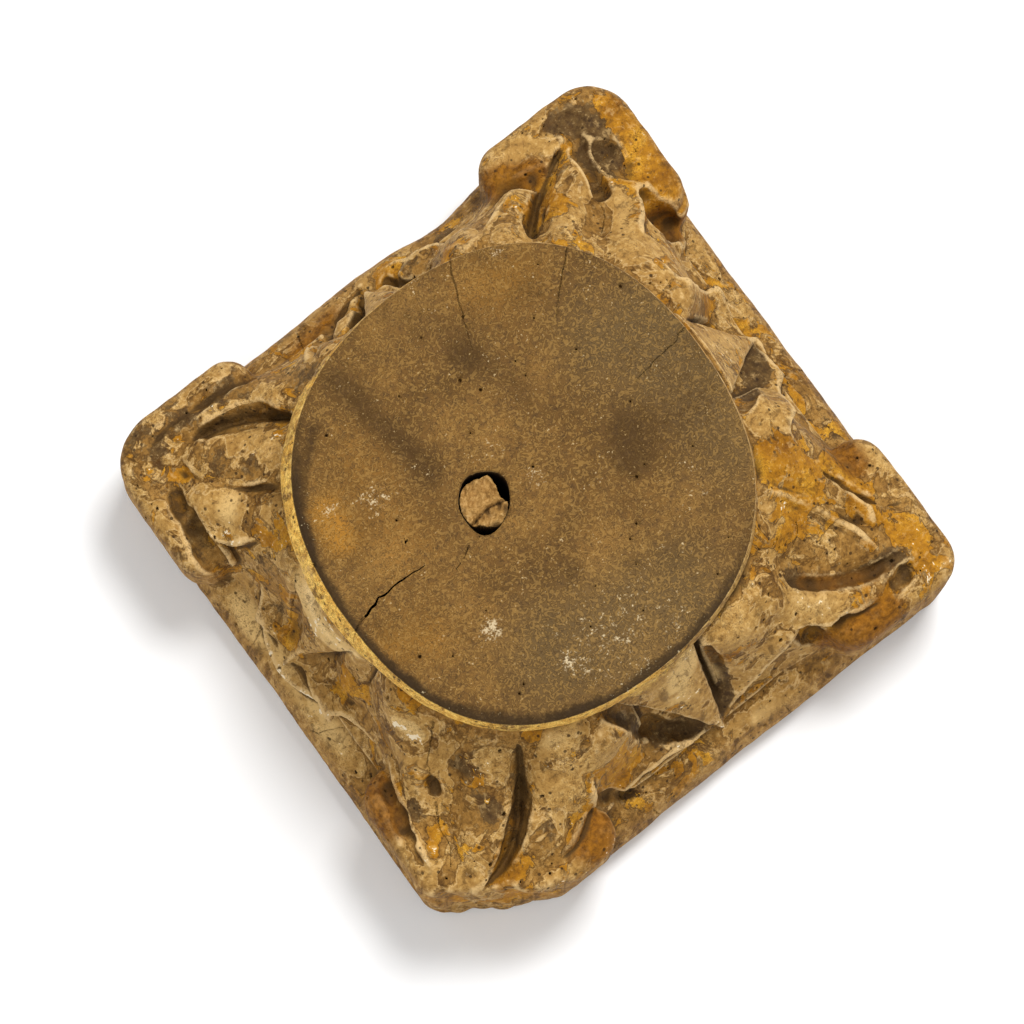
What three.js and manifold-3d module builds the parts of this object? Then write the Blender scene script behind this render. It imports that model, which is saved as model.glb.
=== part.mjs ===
// Carved wooden column base: a square plinth, a leaf-carved bell with four curled corners,
// a round bearing face on top and the stump of a broken peg in an off-centre hole.
import * as THREE from 'three';
import { mergeVertices } from 'three/addons/utils/BufferGeometryUtils.js';
import Module from 'manifold-3d';

// All sizes are in millimetres, with the origin at the middle of the underside and +Z up.
const HEIGHT = 140;
const PLINTH_HALF = 150;
const PLINTH_EDGE = 30;
const PLINTH_POWER = 18;
const EDGE_WEAR = 1.5;

// The blank is a little out of square: one diagonal is longer than the other.
const SKEW = 0.025;

// The round top is off centre, slightly squared towards the corners and narrower across X.
const NECK_CENTRE = new THREE.Vector2(-5.6, 2.4);
const NECK_RADIUS = 108.4;
const NECK_SQUARING = 2.5;
const NECK_OVAL = 1.7;
const NECK_FOOT = 125;
const NECK_FLARE = 1.5;

// Outlines of the turned and squared body from the underside up: height, half width,
// squareness (2 is round) and share of the neck's own irregularity.
const BODY_LEVELS = [
  [0, PLINTH_HALF - EDGE_WEAR, PLINTH_POWER, 0],
  [EDGE_WEAR, PLINTH_HALF, PLINTH_POWER, 0],
  [PLINTH_EDGE - 2 * EDGE_WEAR, PLINTH_HALF, PLINTH_POWER, 0],
  [PLINTH_EDGE, PLINTH_HALF - EDGE_WEAR, PLINTH_POWER, 0],
  [36, 140, 9, 0],
  [39, 131, 7, 0],
  [45, 136, 6, 0],
  [52, 128, 5, 0.2],
  [62, 118, 4, 0.4],
  [80, 109, 3, 0.6],
  [100, 104, 2.4, 0.8],
  [116, 103, 2.1, 1],
  [NECK_FOOT - 2, NECK_RADIUS - 2, 2, 1],
  [NECK_FOOT, NECK_RADIUS + NECK_FLARE, 2, 1],
  [HEIGHT - EDGE_WEAR, NECK_RADIUS + EDGE_WEAR / 2, 2, 1],
  [HEIGHT, NECK_RADIUS - EDGE_WEAR / 2, 2, 1],
];
const BODY_SEGMENTS = 80;
const CORNER_CROWDING = 0.12;

// Curled corner blocks, L-shaped in plan, standing out past the plinth faces.
const CURL_HALF = 156;
const CURL_ARM = 86;
const CURL_WIDTH = 34;
const CURL_BOTTOM = 27;
const CURL_TOP = 73;
const CURL_CORNER = 25;
const CURL_ROUNDING = 13;

// Corner leaves, described by distance out along the diagonal: ridge height and half width.
const LEAF_SPINE = [
  [98, 124], [112, 119], [125, 103], [140, 91], [155, 84], [170, 79], [185, 75], [197, 67], [207, 52],
];
const LEAF_WIDTH = [[98, 60], [130, 46], [160, 33], [185, 22], [207, 12]];
const LEAF_START = 98;
const LEAF_END = 207;
const LEAF_FLOOR = 34;
const LEAF_BATTER = 20;
const LEAF_LOBE = 3.5;
const LEAF_DROOP = 7;
const LEAF_CELLS = [13, 12];

// Pointed leaves at the middle of each side: sideways place at the neck and at the tip.
const SIDE_LEAVES = [
  { turn: 0, start: 0, tip: 3 },
  { turn: 90, start: 2, tip: 4 },
  { turn: 180, start: -8, tip: -18 },
  { turn: 270, start: -7, tip: 13 },
];
const SIDE_LEAF_TOP = 124;
const SIDE_LEAF_TIP = 44;
const SIDE_LEAF_START = 106;
const SIDE_LEAF_REACH = 137;
const SIDE_LEAF_CURVE = 1.15;
const SIDE_LEAF_HALF = 22;
const SIDE_LEAF_BLUNT = 2;
const SIDE_LEAF_DEPTH = 30;
const SIDE_LEAF_CROWN = 2.5;
const SIDE_LEAF_CELLS = [8, 10];

// Deep pockets along both edges of each side leaf, by share of the way from neck to tip.
const POCKET_STEPS = [0, 0.3, 0.6, 0.82];
const POCKET_RADIUS = 8.5;
const POCKET_OFFSET = 6;
const POCKET_SINK = 2;

// Gouge cuts between the lobes of the corner leaves: radius and plan points from neck to tip.
const GOUGES = [
  { radius: 6, path: [[76, 101], [92, 114], [108, 123]] },
  { radius: 6, path: [[112, 86], [119, 108], [124, 131]] },
  { radius: 6, path: [[68, -104], [98, -125], [131, -134]] },
  { radius: 5, path: [[98, -76], [110, -98], [124, -118]] },
  { radius: 6.5, path: [[-77, -89], [-90, -109], [-112, -125], [-127, -131]] },
  { radius: 5, path: [[-116, -72], [-124, -90], [-131, -108]] },
  { radius: 7, path: [[-71, 99], [-99, 120], [-121, 130]] },
  { radius: 6, path: [[-95, 71], [-118, 102], [-127, 122]] },
];
const GOUGE_LIFT = 1.5;
const GOUGE_CELLS = [7, 8];

// The broken corner: a worn fracture between two points on the outline, with its waves.
const BREAK_FROM = new THREE.Vector2(-152, -121);
const BREAK_TO = new THREE.Vector2(-101, -154);
const BREAK_OVERRUN = 40;
const BREAK_SIZE = 60;
const BREAK_CELLS = [12, 6];
const BREAK_ROUGHNESS = 1.6;
const BREAK_WAVES = [[0.21, 0.05], [0.09, -0.13]];

// Hole for the peg, an uneven oval, and the peg stump left in it.
const HOLE_CENTRE = new THREE.Vector2(-25.7, 6.3);
const HOLE_HALF = [12.3, 14.6];
const HOLE_TURN = 53;
const HOLE_UNEVENNESS = 0.045;
const HOLE_DEPTH = 48;
const PEG_OFFSET = new THREE.Vector2(-0.5, -0.1);
const PEG_HALF = [11.2, 12.3];
const PEG_TOP = HEIGHT - 4;
const PEG_GAP = 0.3;
const PEG_RIDGE = 2.2;
const PEG_RIDGE_SLOPE = 0.35;
const PEG_RIDGE_WIDTH = 3;
const PEG_FIBRE = 0.8;
const OVAL_POINTS = 28;
const OVAL_RINGS = [0.66, 0.33];

const MERGE = 1e-4;
const OVERSHOOT = 5;

const wasm = await Module();
wasm.setup();

// Value at x on a smooth line through a short table of [x, y] pairs.
function along(table, x) {
  const last = table.length - 1;
  let i = 0;
  while (i < last - 1 && x > table[i + 1][0]) i += 1;
  const span = table[i + 1][0] - table[i][0];
  const t = THREE.MathUtils.clamp((x - table[i][0]) / span, 0, 1);
  const slope = (k) => {
    const a = table[Math.max(k - 1, 0)];
    const b = table[Math.min(k + 1, last)];
    return (b[1] - a[1]) / (b[0] - a[0]);
  };
  const h = t * t * (3 - 2 * t);
  const rise = slope(i) * span * t * (1 - t) ** 2 - slope(i + 1) * span * t * t * (1 - t);
  return table[i][1] * (1 - h) + table[i + 1][1] * h + rise;
}

// A solid from a closed geometry, turned to face outwards.
function toSolid(geometry) {
  const bare = geometry.clone();
  bare.deleteAttribute('normal');
  bare.deleteAttribute('uv');
  const merged = mergeVertices(bare, MERGE);
  const points = merged.getAttribute('position');
  const corner = [new THREE.Vector3(), new THREE.Vector3(), new THREE.Vector3()];
  const kept = [];
  let volume = 0;
  for (let i = 0; i < merged.index.count; i += 3) {
    const [a, b, c] = [0, 1, 2].map((k) => merged.index.getX(i + k));
    if (a !== b && b !== c && c !== a) {
      kept.push([a, b, c]);
      [a, b, c].forEach((index, k) => corner[k].fromBufferAttribute(points, index));
      volume += corner[0].dot(corner[1].clone().cross(corner[2]));
    }
  }
  const facing = volume < 0 ? kept.map(([a, b, c]) => [a, c, b]) : kept;
  const vertProperties = new Float32Array(points.array);
  const triVerts = new Uint32Array(facing.flat());
  return new wasm.Manifold(new wasm.Mesh({ numProp: 3, vertProperties, triVerts }));
}

// The geometry of a solid, stretched along one diagonal by the skew of the blank.
function toGeometry(solid) {
  const mesh = solid.getMesh();
  const geometry = new THREE.BufferGeometry();
  geometry.setAttribute('position', new THREE.BufferAttribute(new Float32Array(mesh.vertProperties), 3));
  geometry.setIndex(new THREE.BufferAttribute(new Uint32Array(mesh.triVerts), 1));
  geometry.applyMatrix4(new THREE.Matrix4().set(1, SKEW, 0, 0, SKEW, 1, 0, 0, 0, 0, 1, 0, 0, 0, 0, 1));
  geometry.computeVertexNormals();
  return geometry;
}

// Moves every vertex of a geometry to where the given function places it.
function remap(geometry, place) {
  const position = geometry.getAttribute('position');
  const point = new THREE.Vector3();
  for (let i = 0; i < position.count; i += 1) {
    point.fromBufferAttribute(position, i);
    const moved = place(point);
    position.setXYZ(i, moved.x, moved.y, moved.z);
  }
  return geometry;
}

// Radius in one direction of a rounded square; a power of 2 gives a circle.
function squared(half, power, angle) {
  const sum = Math.abs(Math.cos(angle)) ** power + Math.abs(Math.sin(angle)) ** power;
  return half / sum ** (1 / power);
}

// Plinth, shelf, lip, waist and neck as one stack of outlines.
function body() {
  const last = BODY_LEVELS.length - 1;
  const rings = BODY_LEVELS.map((level, k) => new THREE.Vector2(1, k));
  const profile = [new THREE.Vector2(0, 0), ...rings, new THREE.Vector2(0, last)];
  const lathe = new THREE.LatheGeometry(profile, BODY_SEGMENTS).rotateX(Math.PI / 2);
  return remap(lathe, (point) => {
    const [z, half, power, neck] = BODY_LEVELS[Math.round(point.z)];
    const even = Math.atan2(point.y, point.x);
    const angle = even + CORNER_CROWDING * Math.sin(4 * even);
    const irregular = NECK_SQUARING * Math.cos(4 * angle) + NECK_OVAL * Math.cos(2 * angle);
    const radius = Math.hypot(point.x, point.y) * (squared(half, power, angle) - neck * irregular);
    const x = radius * Math.cos(angle) + neck * NECK_CENTRE.x;
    const y = radius * Math.sin(angle) + neck * NECK_CENTRE.y;
    return new THREE.Vector3(x, y, z);
  });
}

// One curled corner block in the +X +Y corner.
function cornerCurl() {
  const outer = CURL_HALF;
  const inner = CURL_HALF - CURL_WIDTH;
  const endRadius = CURL_WIDTH / 2;
  const end = CURL_HALF - CURL_ARM + endRadius;
  const corner = outer - CURL_CORNER;
  const shape = new THREE.Shape();
  shape.moveTo(end, inner);
  shape.lineTo(inner - CURL_ROUNDING, inner);
  shape.quadraticCurveTo(inner, inner, inner, inner - CURL_ROUNDING);
  shape.lineTo(inner, end);
  shape.absarc(outer - endRadius, end, endRadius, Math.PI, 2 * Math.PI, false);
  shape.absarc(corner, corner, CURL_CORNER, 0, Math.PI / 2, false);
  shape.absarc(end, outer - endRadius, endRadius, Math.PI / 2, 1.5 * Math.PI, false);
  const geometry = new THREE.ExtrudeGeometry(shape, {
    depth: CURL_TOP - CURL_BOTTOM - 2 * CURL_ROUNDING,
    bevelThickness: CURL_ROUNDING,
    bevelSize: CURL_ROUNDING,
    bevelOffset: -CURL_ROUNDING,
    bevelSegments: 3,
    curveSegments: 5,
  });
  return geometry.translate(0, 0, CURL_BOTTOM + CURL_ROUNDING);
}

// Height of a corner leaf: u runs out along the diagonal, side from -1 to 1 across the leaf.
function leafHeight(u, side) {
  const lobes = LEAF_LOBE * (Math.abs(Math.cos(1.5 * Math.PI * side)) - 1);
  return along(LEAF_SPINE, u) + lobes - LEAF_DROOP * side * side;
}

// One three-lobed corner leaf with sloping edges, lying along +X.
function cornerLeaf() {
  const box = new THREE.BoxGeometry(1, 1, 1, LEAF_CELLS[0], LEAF_CELLS[1], 1);
  return remap(box, (point) => {
    const u = THREE.MathUtils.lerp(LEAF_START, LEAF_END, point.x + 0.5);
    const side = 2 * point.y;
    const top = point.z > 0;
    const half = along(LEAF_WIDTH, u) + (top ? 0 : LEAF_BATTER * (0.5 - point.x));
    return new THREE.Vector3(u, side * half, top ? leafHeight(u, side) : LEAF_FLOOR);
  });
}

// Height of the leaf surface above a point in plan, on whichever diagonal is nearest.
function surfaceHeight(x, y) {
  const u = (Math.abs(x) + Math.abs(y)) / Math.SQRT2;
  const v = (Math.abs(y) - Math.abs(x)) / Math.SQRT2;
  return leafHeight(u, THREE.MathUtils.clamp(v / along(LEAF_WIDTH, u), -1, 1));
}

// A round-bottomed cut that follows a curve and thins out to nothing at both ends.
function gouge(points, radius) {
  const curve = new THREE.CatmullRomCurve3(points);
  const ball = new THREE.SphereGeometry(1, GOUGE_CELLS[0], GOUGE_CELLS[1]);
  return remap(ball, (point) => {
    const t = THREE.MathUtils.clamp((1 - point.y) / 2, 0, 1);
    const tangent = curve.getTangent(t);
    const across = new THREE.Vector3(-tangent.y, tangent.x, 0).normalize();
    const upward = new THREE.Vector3().crossVectors(tangent, across);
    const centre = curve.getPoint(t);
    return centre.addScaledVector(across, radius * point.x).addScaledVector(upward, radius * point.z);
  });
}

// Place and half width of a side leaf on the +X side, t from neck to tip.
function sideLeafLine(leaf, t) {
  return {
    sideways: THREE.MathUtils.lerp(leaf.start, leaf.tip, t),
    out: THREE.MathUtils.lerp(SIDE_LEAF_START, SIDE_LEAF_REACH, t ** SIDE_LEAF_CURVE),
    half: SIDE_LEAF_BLUNT + SIDE_LEAF_HALF * (1 - t),
    z: THREE.MathUtils.lerp(SIDE_LEAF_TOP, SIDE_LEAF_TIP, t),
  };
}

// One pointed side leaf on the +X side.
function sideLeaf(leaf) {
  const box = new THREE.BoxGeometry(1, 1, 1, 1, SIDE_LEAF_CELLS[0], SIDE_LEAF_CELLS[1]);
  return remap(box, (point) => {
    const line = sideLeafLine(leaf, 0.5 - point.z);
    const side = 2 * point.y;
    const crown = SIDE_LEAF_CROWN * (1 - side * side);
    const out = line.out + crown - (point.x < 0 ? SIDE_LEAF_DEPTH : 0);
    return new THREE.Vector3(out, line.sideways + side * line.half, line.z);
  });
}

// The deep pocket along one edge of a side leaf on the +X side.
function pocket(leaf, hand) {
  const points = POCKET_STEPS.map((t) => {
    const line = sideLeafLine(leaf, t);
    const sideways = line.sideways + hand * (line.half + POCKET_OFFSET);
    return new THREE.Vector3(line.out - POCKET_SINK, sideways, line.z);
  });
  return gouge(points, POCKET_RADIUS);
}

// Everything beyond the fracture of the broken corner.
function brokenCorner() {
  const line = BREAK_TO.clone().sub(BREAK_FROM);
  const run = line.clone().normalize();
  const outward = new THREE.Vector2(run.y, -run.x);
  const box = new THREE.BoxGeometry(1, 1, 1, BREAK_CELLS[0], 1, BREAK_CELLS[1]);
  return remap(box, (point) => {
    const s = THREE.MathUtils.lerp(-BREAK_OVERRUN, line.length() + BREAK_OVERRUN, point.x + 0.5);
    const z = THREE.MathUtils.lerp(-OVERSHOOT, HEIGHT + OVERSHOOT, point.z + 0.5);
    const waves = BREAK_WAVES.map(([across, up]) => Math.sin(across * s + up * z));
    const rough = BREAK_ROUGHNESS * (waves[0] + waves[1]);
    const plan = BREAK_FROM.clone().addScaledVector(run, s);
    plan.addScaledVector(outward, point.y > 0 ? BREAK_SIZE : rough);
    return new THREE.Vector3(plan.x, plan.y, z);
  });
}

// Radius of the uneven oval of the hole or of the peg, in the direction of an angle.
function oval(halves, angle) {
  const local = angle - THREE.MathUtils.degToRad(HOLE_TURN);
  const even = 1 / Math.hypot(Math.cos(local) / halves[1], Math.sin(local) / halves[0]);
  return even * (1 + HOLE_UNEVENNESS * (Math.cos(3 * angle) + 0.5 * Math.sin(5 * angle)));
}

// An upright column of uneven oval section whose top follows the given relief.
function ovalColumn(centre, halves, bottom, top, relief) {
  const shares = [0, 1, 1, ...OVAL_RINGS, 0];
  const profile = shares.map((share, k) => new THREE.Vector2(share, k));
  const lathe = new THREE.LatheGeometry(profile, OVAL_POINTS).rotateX(Math.PI / 2);
  return remap(lathe, (point) => {
    const angle = Math.atan2(point.y, point.x);
    const radius = Math.hypot(point.x, point.y) * oval(halves, angle);
    const x = radius * Math.cos(angle);
    const y = radius * Math.sin(angle);
    const z = point.z < 1.5 ? bottom : top + relief(x, y);
    return new THREE.Vector3(centre.x + x, centre.y + y, z);
  });
}

// Torn end of the peg: a split ridge across it and uneven fibres on both sides.
function tornEnd(x, y) {
  const ridge = Math.exp(-(((y - PEG_RIDGE_SLOPE * x) / PEG_RIDGE_WIDTH) ** 2));
  return PEG_RIDGE * ridge + PEG_FIBRE * Math.sin(PEG_FIBRE * x) * Math.cos(PEG_FIBRE * y);
}

// A solid from a geometry turned about the upright axis.
function turned(geometry, degrees) {
  return toSolid(geometry.clone().rotateZ(THREE.MathUtils.degToRad(degrees)));
}

// The carved block: body, curls and leaves joined, then the carver's cuts taken out of them.
function carvedBlock() {
  let block = toSolid(body());
  [0, 90, 180, 270].forEach((degrees) => {
    block = block.add(turned(cornerCurl(), degrees));
    block = block.add(turned(cornerLeaf(), degrees + 45));
  });
  SIDE_LEAVES.forEach((leaf) => {
    block = block.subtract(turned(pocket(leaf, -1), leaf.turn));
    block = block.subtract(turned(pocket(leaf, 1), leaf.turn));
    block = block.add(turned(sideLeaf(leaf), leaf.turn));
  });
  GOUGES.forEach(({ radius, path }) => {
    const points = path.map(([x, y]) => new THREE.Vector3(x, y, surfaceHeight(x, y) + GOUGE_LIFT));
    block = block.subtract(toSolid(gouge(points, radius)));
  });
  const holeFloor = HEIGHT - HOLE_DEPTH;
  const hole = ovalColumn(HOLE_CENTRE, HOLE_HALF, holeFloor, HEIGHT + OVERSHOOT, () => 0);
  return block.subtract(toSolid(brokenCorner())).subtract(toSolid(hole));
}

// The stump of the peg, standing in the hole.
function pegStump() {
  const centre = HOLE_CENTRE.clone().add(PEG_OFFSET);
  return toSolid(ovalColumn(centre, PEG_HALF, HEIGHT - HOLE_DEPTH + PEG_GAP, PEG_TOP, tornEnd));
}

const paintedWood = new THREE.MeshStandardMaterial({ color: 0xb89a62, roughness: 0.8, metalness: 0 });
const bareWood = new THREE.MeshStandardMaterial({ color: 0x9a7648, roughness: 0.85, metalness: 0 });

const block = new THREE.Mesh(toGeometry(carvedBlock()), paintedWood);
block.name = 'carved_block';
const peg = new THREE.Mesh(toGeometry(pegStump()), bareWood);
peg.name = 'peg_stump';

const base = new THREE.Group();
base.name = 'wood_column_base';
base.add(block, peg);

export default base;
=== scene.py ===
import math

import bpy
import numpy as np
import openvdb
from mathutils import Matrix, Vector


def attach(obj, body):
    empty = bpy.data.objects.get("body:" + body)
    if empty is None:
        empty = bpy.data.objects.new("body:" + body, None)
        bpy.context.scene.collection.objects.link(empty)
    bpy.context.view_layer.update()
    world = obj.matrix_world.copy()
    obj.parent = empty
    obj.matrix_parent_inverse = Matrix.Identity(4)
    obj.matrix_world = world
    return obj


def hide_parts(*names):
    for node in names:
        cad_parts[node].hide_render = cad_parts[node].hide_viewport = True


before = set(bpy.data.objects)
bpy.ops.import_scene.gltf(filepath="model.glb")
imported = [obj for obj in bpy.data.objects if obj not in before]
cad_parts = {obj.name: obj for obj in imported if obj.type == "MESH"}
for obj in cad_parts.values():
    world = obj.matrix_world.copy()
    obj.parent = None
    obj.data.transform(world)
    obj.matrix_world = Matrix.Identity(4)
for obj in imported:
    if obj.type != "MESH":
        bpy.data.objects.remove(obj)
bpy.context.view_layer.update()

# Sizes are in millimetres in the part's frame, before its skew, and become metres at the end.
MM = 0.001
HEIGHT = 140.0
SKEW = 0.025
VOXEL = 1.0
LOW = (-163.0, -163.0, -4.0)
HIGH = (163.0, 163.0, 145.0)
# Corner windows of the grid reach from near the middle to just past the wood.
INNER = 20
OUTER = 162
# Further than any distance that matters.
FAR = 99.0

# Body outlines from the underside up: height, half width, squareness, share of neck irregularity.
BODY = [
    (0, 148.5, 18, 0), (2, 149.8, 18, 0), (26, 149.8, 18, 0), (30, 148, 17, 0), (36, 141, 9, 0),
    (40, 134, 7, 0), (45, 135, 6, 0), (52, 128, 5, 0.2), (62, 118.5, 4, 0.4), (80, 109.5, 3, 0.6),
    (100, 105, 2.4, 0.8), (116, 104.5, 2.1, 1), (123, 107.8, 2, 1), (127, 109.6, 2, 1),
    (138, 108.8, 2, 1), (140, 108.4, 2, 1), (146, 108.2, 2, 1),
]
NECK_CENTRE = (-5.6, 2.4)
NECK_SQUARING = 2.5
NECK_OVAL = 1.7
# The neck swells to one side below the bearing face: direction and amount by height.
SWELL_TOWARDS = math.radians(152)
SWELL = [(100, 0), (114, 3.0), (124, 4.2), (131, 3.8), (136, 1.6), (139, 0), (146, 0)]

# Curled corners: signs of the quadrant, where each ear ends along the two sides, outer faces, rounding.
CORNERS = {
    "T": {"sign": (1, 1), "ears": (71.0, 71.0), "outer": (153.0, 152.5), "corner": 25.0},
    "R": {"sign": (1, -1), "ears": (67.0, 78.0), "outer": (151.8, 151.5), "corner": 15.0},
    "B": {"sign": (-1, -1), "ears": (54.0, 58.0), "outer": (151.8, 153.5), "corner": 20.0},
    "L": {"sign": (-1, 1), "ears": (70.0, 73.0), "outer": (155.6, 151.5), "corner": 27.0},
}
CURL_HALF = 155.6
CURL_WIDTH = 34.0
CURL_Z = (27.0, 73.0)
CURL_WINDOW = (20, 85)
CURL_ROUND = 10.0
CURL_END = 15.0

# Corner leaves, by distance out along the diagonal: height of the spine and half width.
LEAF_SPINE = [
    (90, 126), (98, 124), (112, 119), (125, 103), (140, 91), (155, 84), (170, 79), (185, 75),
    (197, 67), (207, 52), (220, 30),
]
LEAF_WIDTH = [(90, 62), (98, 60), (130, 46), (160, 33), (185, 22), (207, 12), (220, 8)]
LEAF_FLOOR = 34.0
LEAF_TOP = 132.0
LEAF_BATTER = 20.0
LEAF_BATTER_ENDS = (207, 98)
LEAF_LOBE = 3.5
LEAF_DROOP = 7.0
LEAF_END = 203.0

# Wear of the slab: side, place along it, spread and depth.
WORN = [((0, 1), 50, 24, 5), ((0, 1), -60, 60, 1.5), ((0, -1), 0, 110, 2.5), ((-1, 0), 0, 110, 1.2)]
WORN_TOP = 40
WORN_FROM = 100
WORN_FADE = 25

# Strokes of the carver, by the photograph's corners and sides: name, half width, height or depth, places.
STROKES = {
    "rib": [
        ("T centre lobe", 10, 5.6, [(109, 121, 78), (97, 104, 89), (80, 84, 114)]),
        ("T left lobe", 9, 4.2, [(82, 121, 85), (71, 113, 95), (58, 102, 115)]),
        ("T right lobe", 11, 3.2, [(122, 99, 81), (114, 82, 89), (103, 59, 114)]),
        ("R midrib", 3, 3.6, [(89, -71, 116), (99, -81, 97), (107, -93, 87), (115, -108, 82),
         (119, -119, 79)]),
        ("R lower lobe", 9, 4.2, [(53, -98, 119), (67, -116, 95), (86, -131, 77)]),
        ("R upper lobe", 10, 4.2, [(99, -60, 116), (108, -77, 94), (119, -97, 81)]),
        ("B middle lobe", 13, 4.9, [(-90, -78, 110), (-106, -96, 88), (-131, -117, 74)]),
        ("B right lobe", 13, 4.9, [(-62, -99, 114), (-75, -119, 88), (-98, -136, 74)]),
        ("B left lobe", 8, 3.5, [(-118, -60, 95), (-129, -77, 78), (-138, -100, 73)]),
        ("L leaf tip", 4, 5, [(-133, 86, 75), (-132, 77, 73), (-133, 70, 64)]),
        ("L middle lobe", 12, 5.6, [(-86, 89, 104), (-104, 108, 86), (-119, 118, 79)]),
        ("L lower lobe", 11, 5.6, [(-102, 65, 108), (-120, 86, 85), (-132, 104, 77)]),
        ("L upper lobe", 10, 4.2, [(-67, 111, 99), (-86, 126, 82), (-109, 135, 75)]),
        ("UL left rib", 2.6, 3.4, [(-50, 118, 102), (-33, 131, 49), (-21, 137, 38), (-2, 144, 33)]),
        ("UL right rib", 3.2, 1.6, [(11, 138, 37), (29, 128, 52), (39, 111, 114), (63, 115, 98)]),
        ("LL upright rib", 3.2, 1.4, [(-111, 51, 111), (-118, 39, 105), (-128, 32, 53), (-139, 22, 37)]),
        ("LL web", 17, 8, [(-112, -2, 112), (-114, -10, 84), (-121, -14, 60)]),
        ("LL crest", 6, 3.5, [(-112, 35, 114), (-116, 27, 97), (-117, 17, 65), (-113, -1, 73)]),
    ],
    "cut": [
        ("T right groove", 5, 6, [(112, 98, 84), (116, 109, 81), (118, 121, 79), (120, 130, 75)]),
        ("T right hollow", 7, 5, [(128, 117, 75), (130, 107, 77), (134, 97, 76)]),
        ("T left ear hollow", 5, 7, [(65, 127, 80), (77, 129, 78), (87, 125, 82), (96, 124, 81)]),
        ("T right ear hollow", 8, 9, [(130, 82, 78), (130, 73, 76), (134, 67, 54)]),
        ("T valley", 6, 3.5, [(118, 138, 74), (127, 133, 74), (134, 125, 74)]),
        ("R main groove", 2.2, 2.8, [(73, -108, 97), (84, -115, 87), (98, -122, 80), (112, -127, 76),
         (126, -129, 75)]),
        ("R notch", 3.6, 4.5, [(114, -138, 75), (127, -136, 73)]),
        ("R ear hollow", 6, 7, [(67, -128, 78), (69, -132, 69), (72, -136, 60)]),
        ("B left hole", 2, 3, [(-118, -75, 89), (-121, -82, 85)]),
        ("B left hollow", 4, 3, [(-134, -57, 69), (-140, -75, 73), (-143, -90, 73)]),
        ("B right seam", 4, 2.5, [(-44, -103, 119), (-49, -108, 115), (-54, -111, 109)]),
        ("LR crescent", 5, 4.5, [(-28, -110, 93), (-22, -118, 77), (-10, -125, 55), (1, -130, 51)]),
        ("B right hollow", 3.6, 4, [(-59, -130, 66), (-50, -132, 49), (-42, -135, 39)]),
        ("L dark slot", 3, 3.5, [(-137, 114, 75), (-139, 106, 73), (-140, 98, 73)]),
        ("L ear hollow", 5, 6.5, [(-138, 96, 73), (-140, 87, 73), (-141, 78, 72), (-141, 71, 64)]),
        ("UL gap left", 3, 7, [(-4, 138, 37), (-11, 132, 49), (-20, 126, 54)]),
        ("UL gap right", 2.6, 6, [(9, 137, 38), (14, 128, 53), (26, 124, 60)]),
    ],
    "vee": [
        ("R lip shadow", 2.4, 4, [(68, -126, 81), (78, -132, 72), (89, -135, 74)]),
        ("R ear border", 1.8, 2.2, [(119, -77, 88), (125, -89, 82), (135, -104, 75), (146, -110, 72)]),
        ("B groove", 3.6, 6.5, [(-77, -90, 110), (-81, -97, 100), (-86, -105, 91), (-100, -118, 80),
         (-112, -126, 75), (-124, -130, 75)]),
        ("L upper border", 3.2, 3.5, [(-133, 137, 73), (-123, 139, 74), (-112, 139, 74), (-99, 138, 73),
         (-87, 136, 73), (-75, 132, 73)]),
        ("UL line left", 2.4, 4, [(-47, 117, 105), (-30, 133, 48), (-16, 140, 37), (-5, 143, 34)]),
    ],
    "taper": [
        ("T left groove", 4.2, 8.5, [(71, 97, 107), (80, 107, 93), (91, 117, 84), (106, 125, 78),
         (118, 130, 74)]),
        ("L deep groove", 4.6, 8, [(-73, 100, 102), (-82, 111, 91), (-92, 118, 83), (-103, 122, 79),
         (-114, 126, 76)]),
    ],
}
STROKE_SEED = 17
# Unevenness of the strokes and of the worn surface: amount, steps along the axes and seed.
RAGGEDNESS = (1.3, (5, 5, 5), 8)
ROUGHNESS = [(0.9, (26, 26, 20), 3), (0.5, (9, 9, 8), 4), (0.3, (3.6, 3.6, 3.6), 5)]

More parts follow.
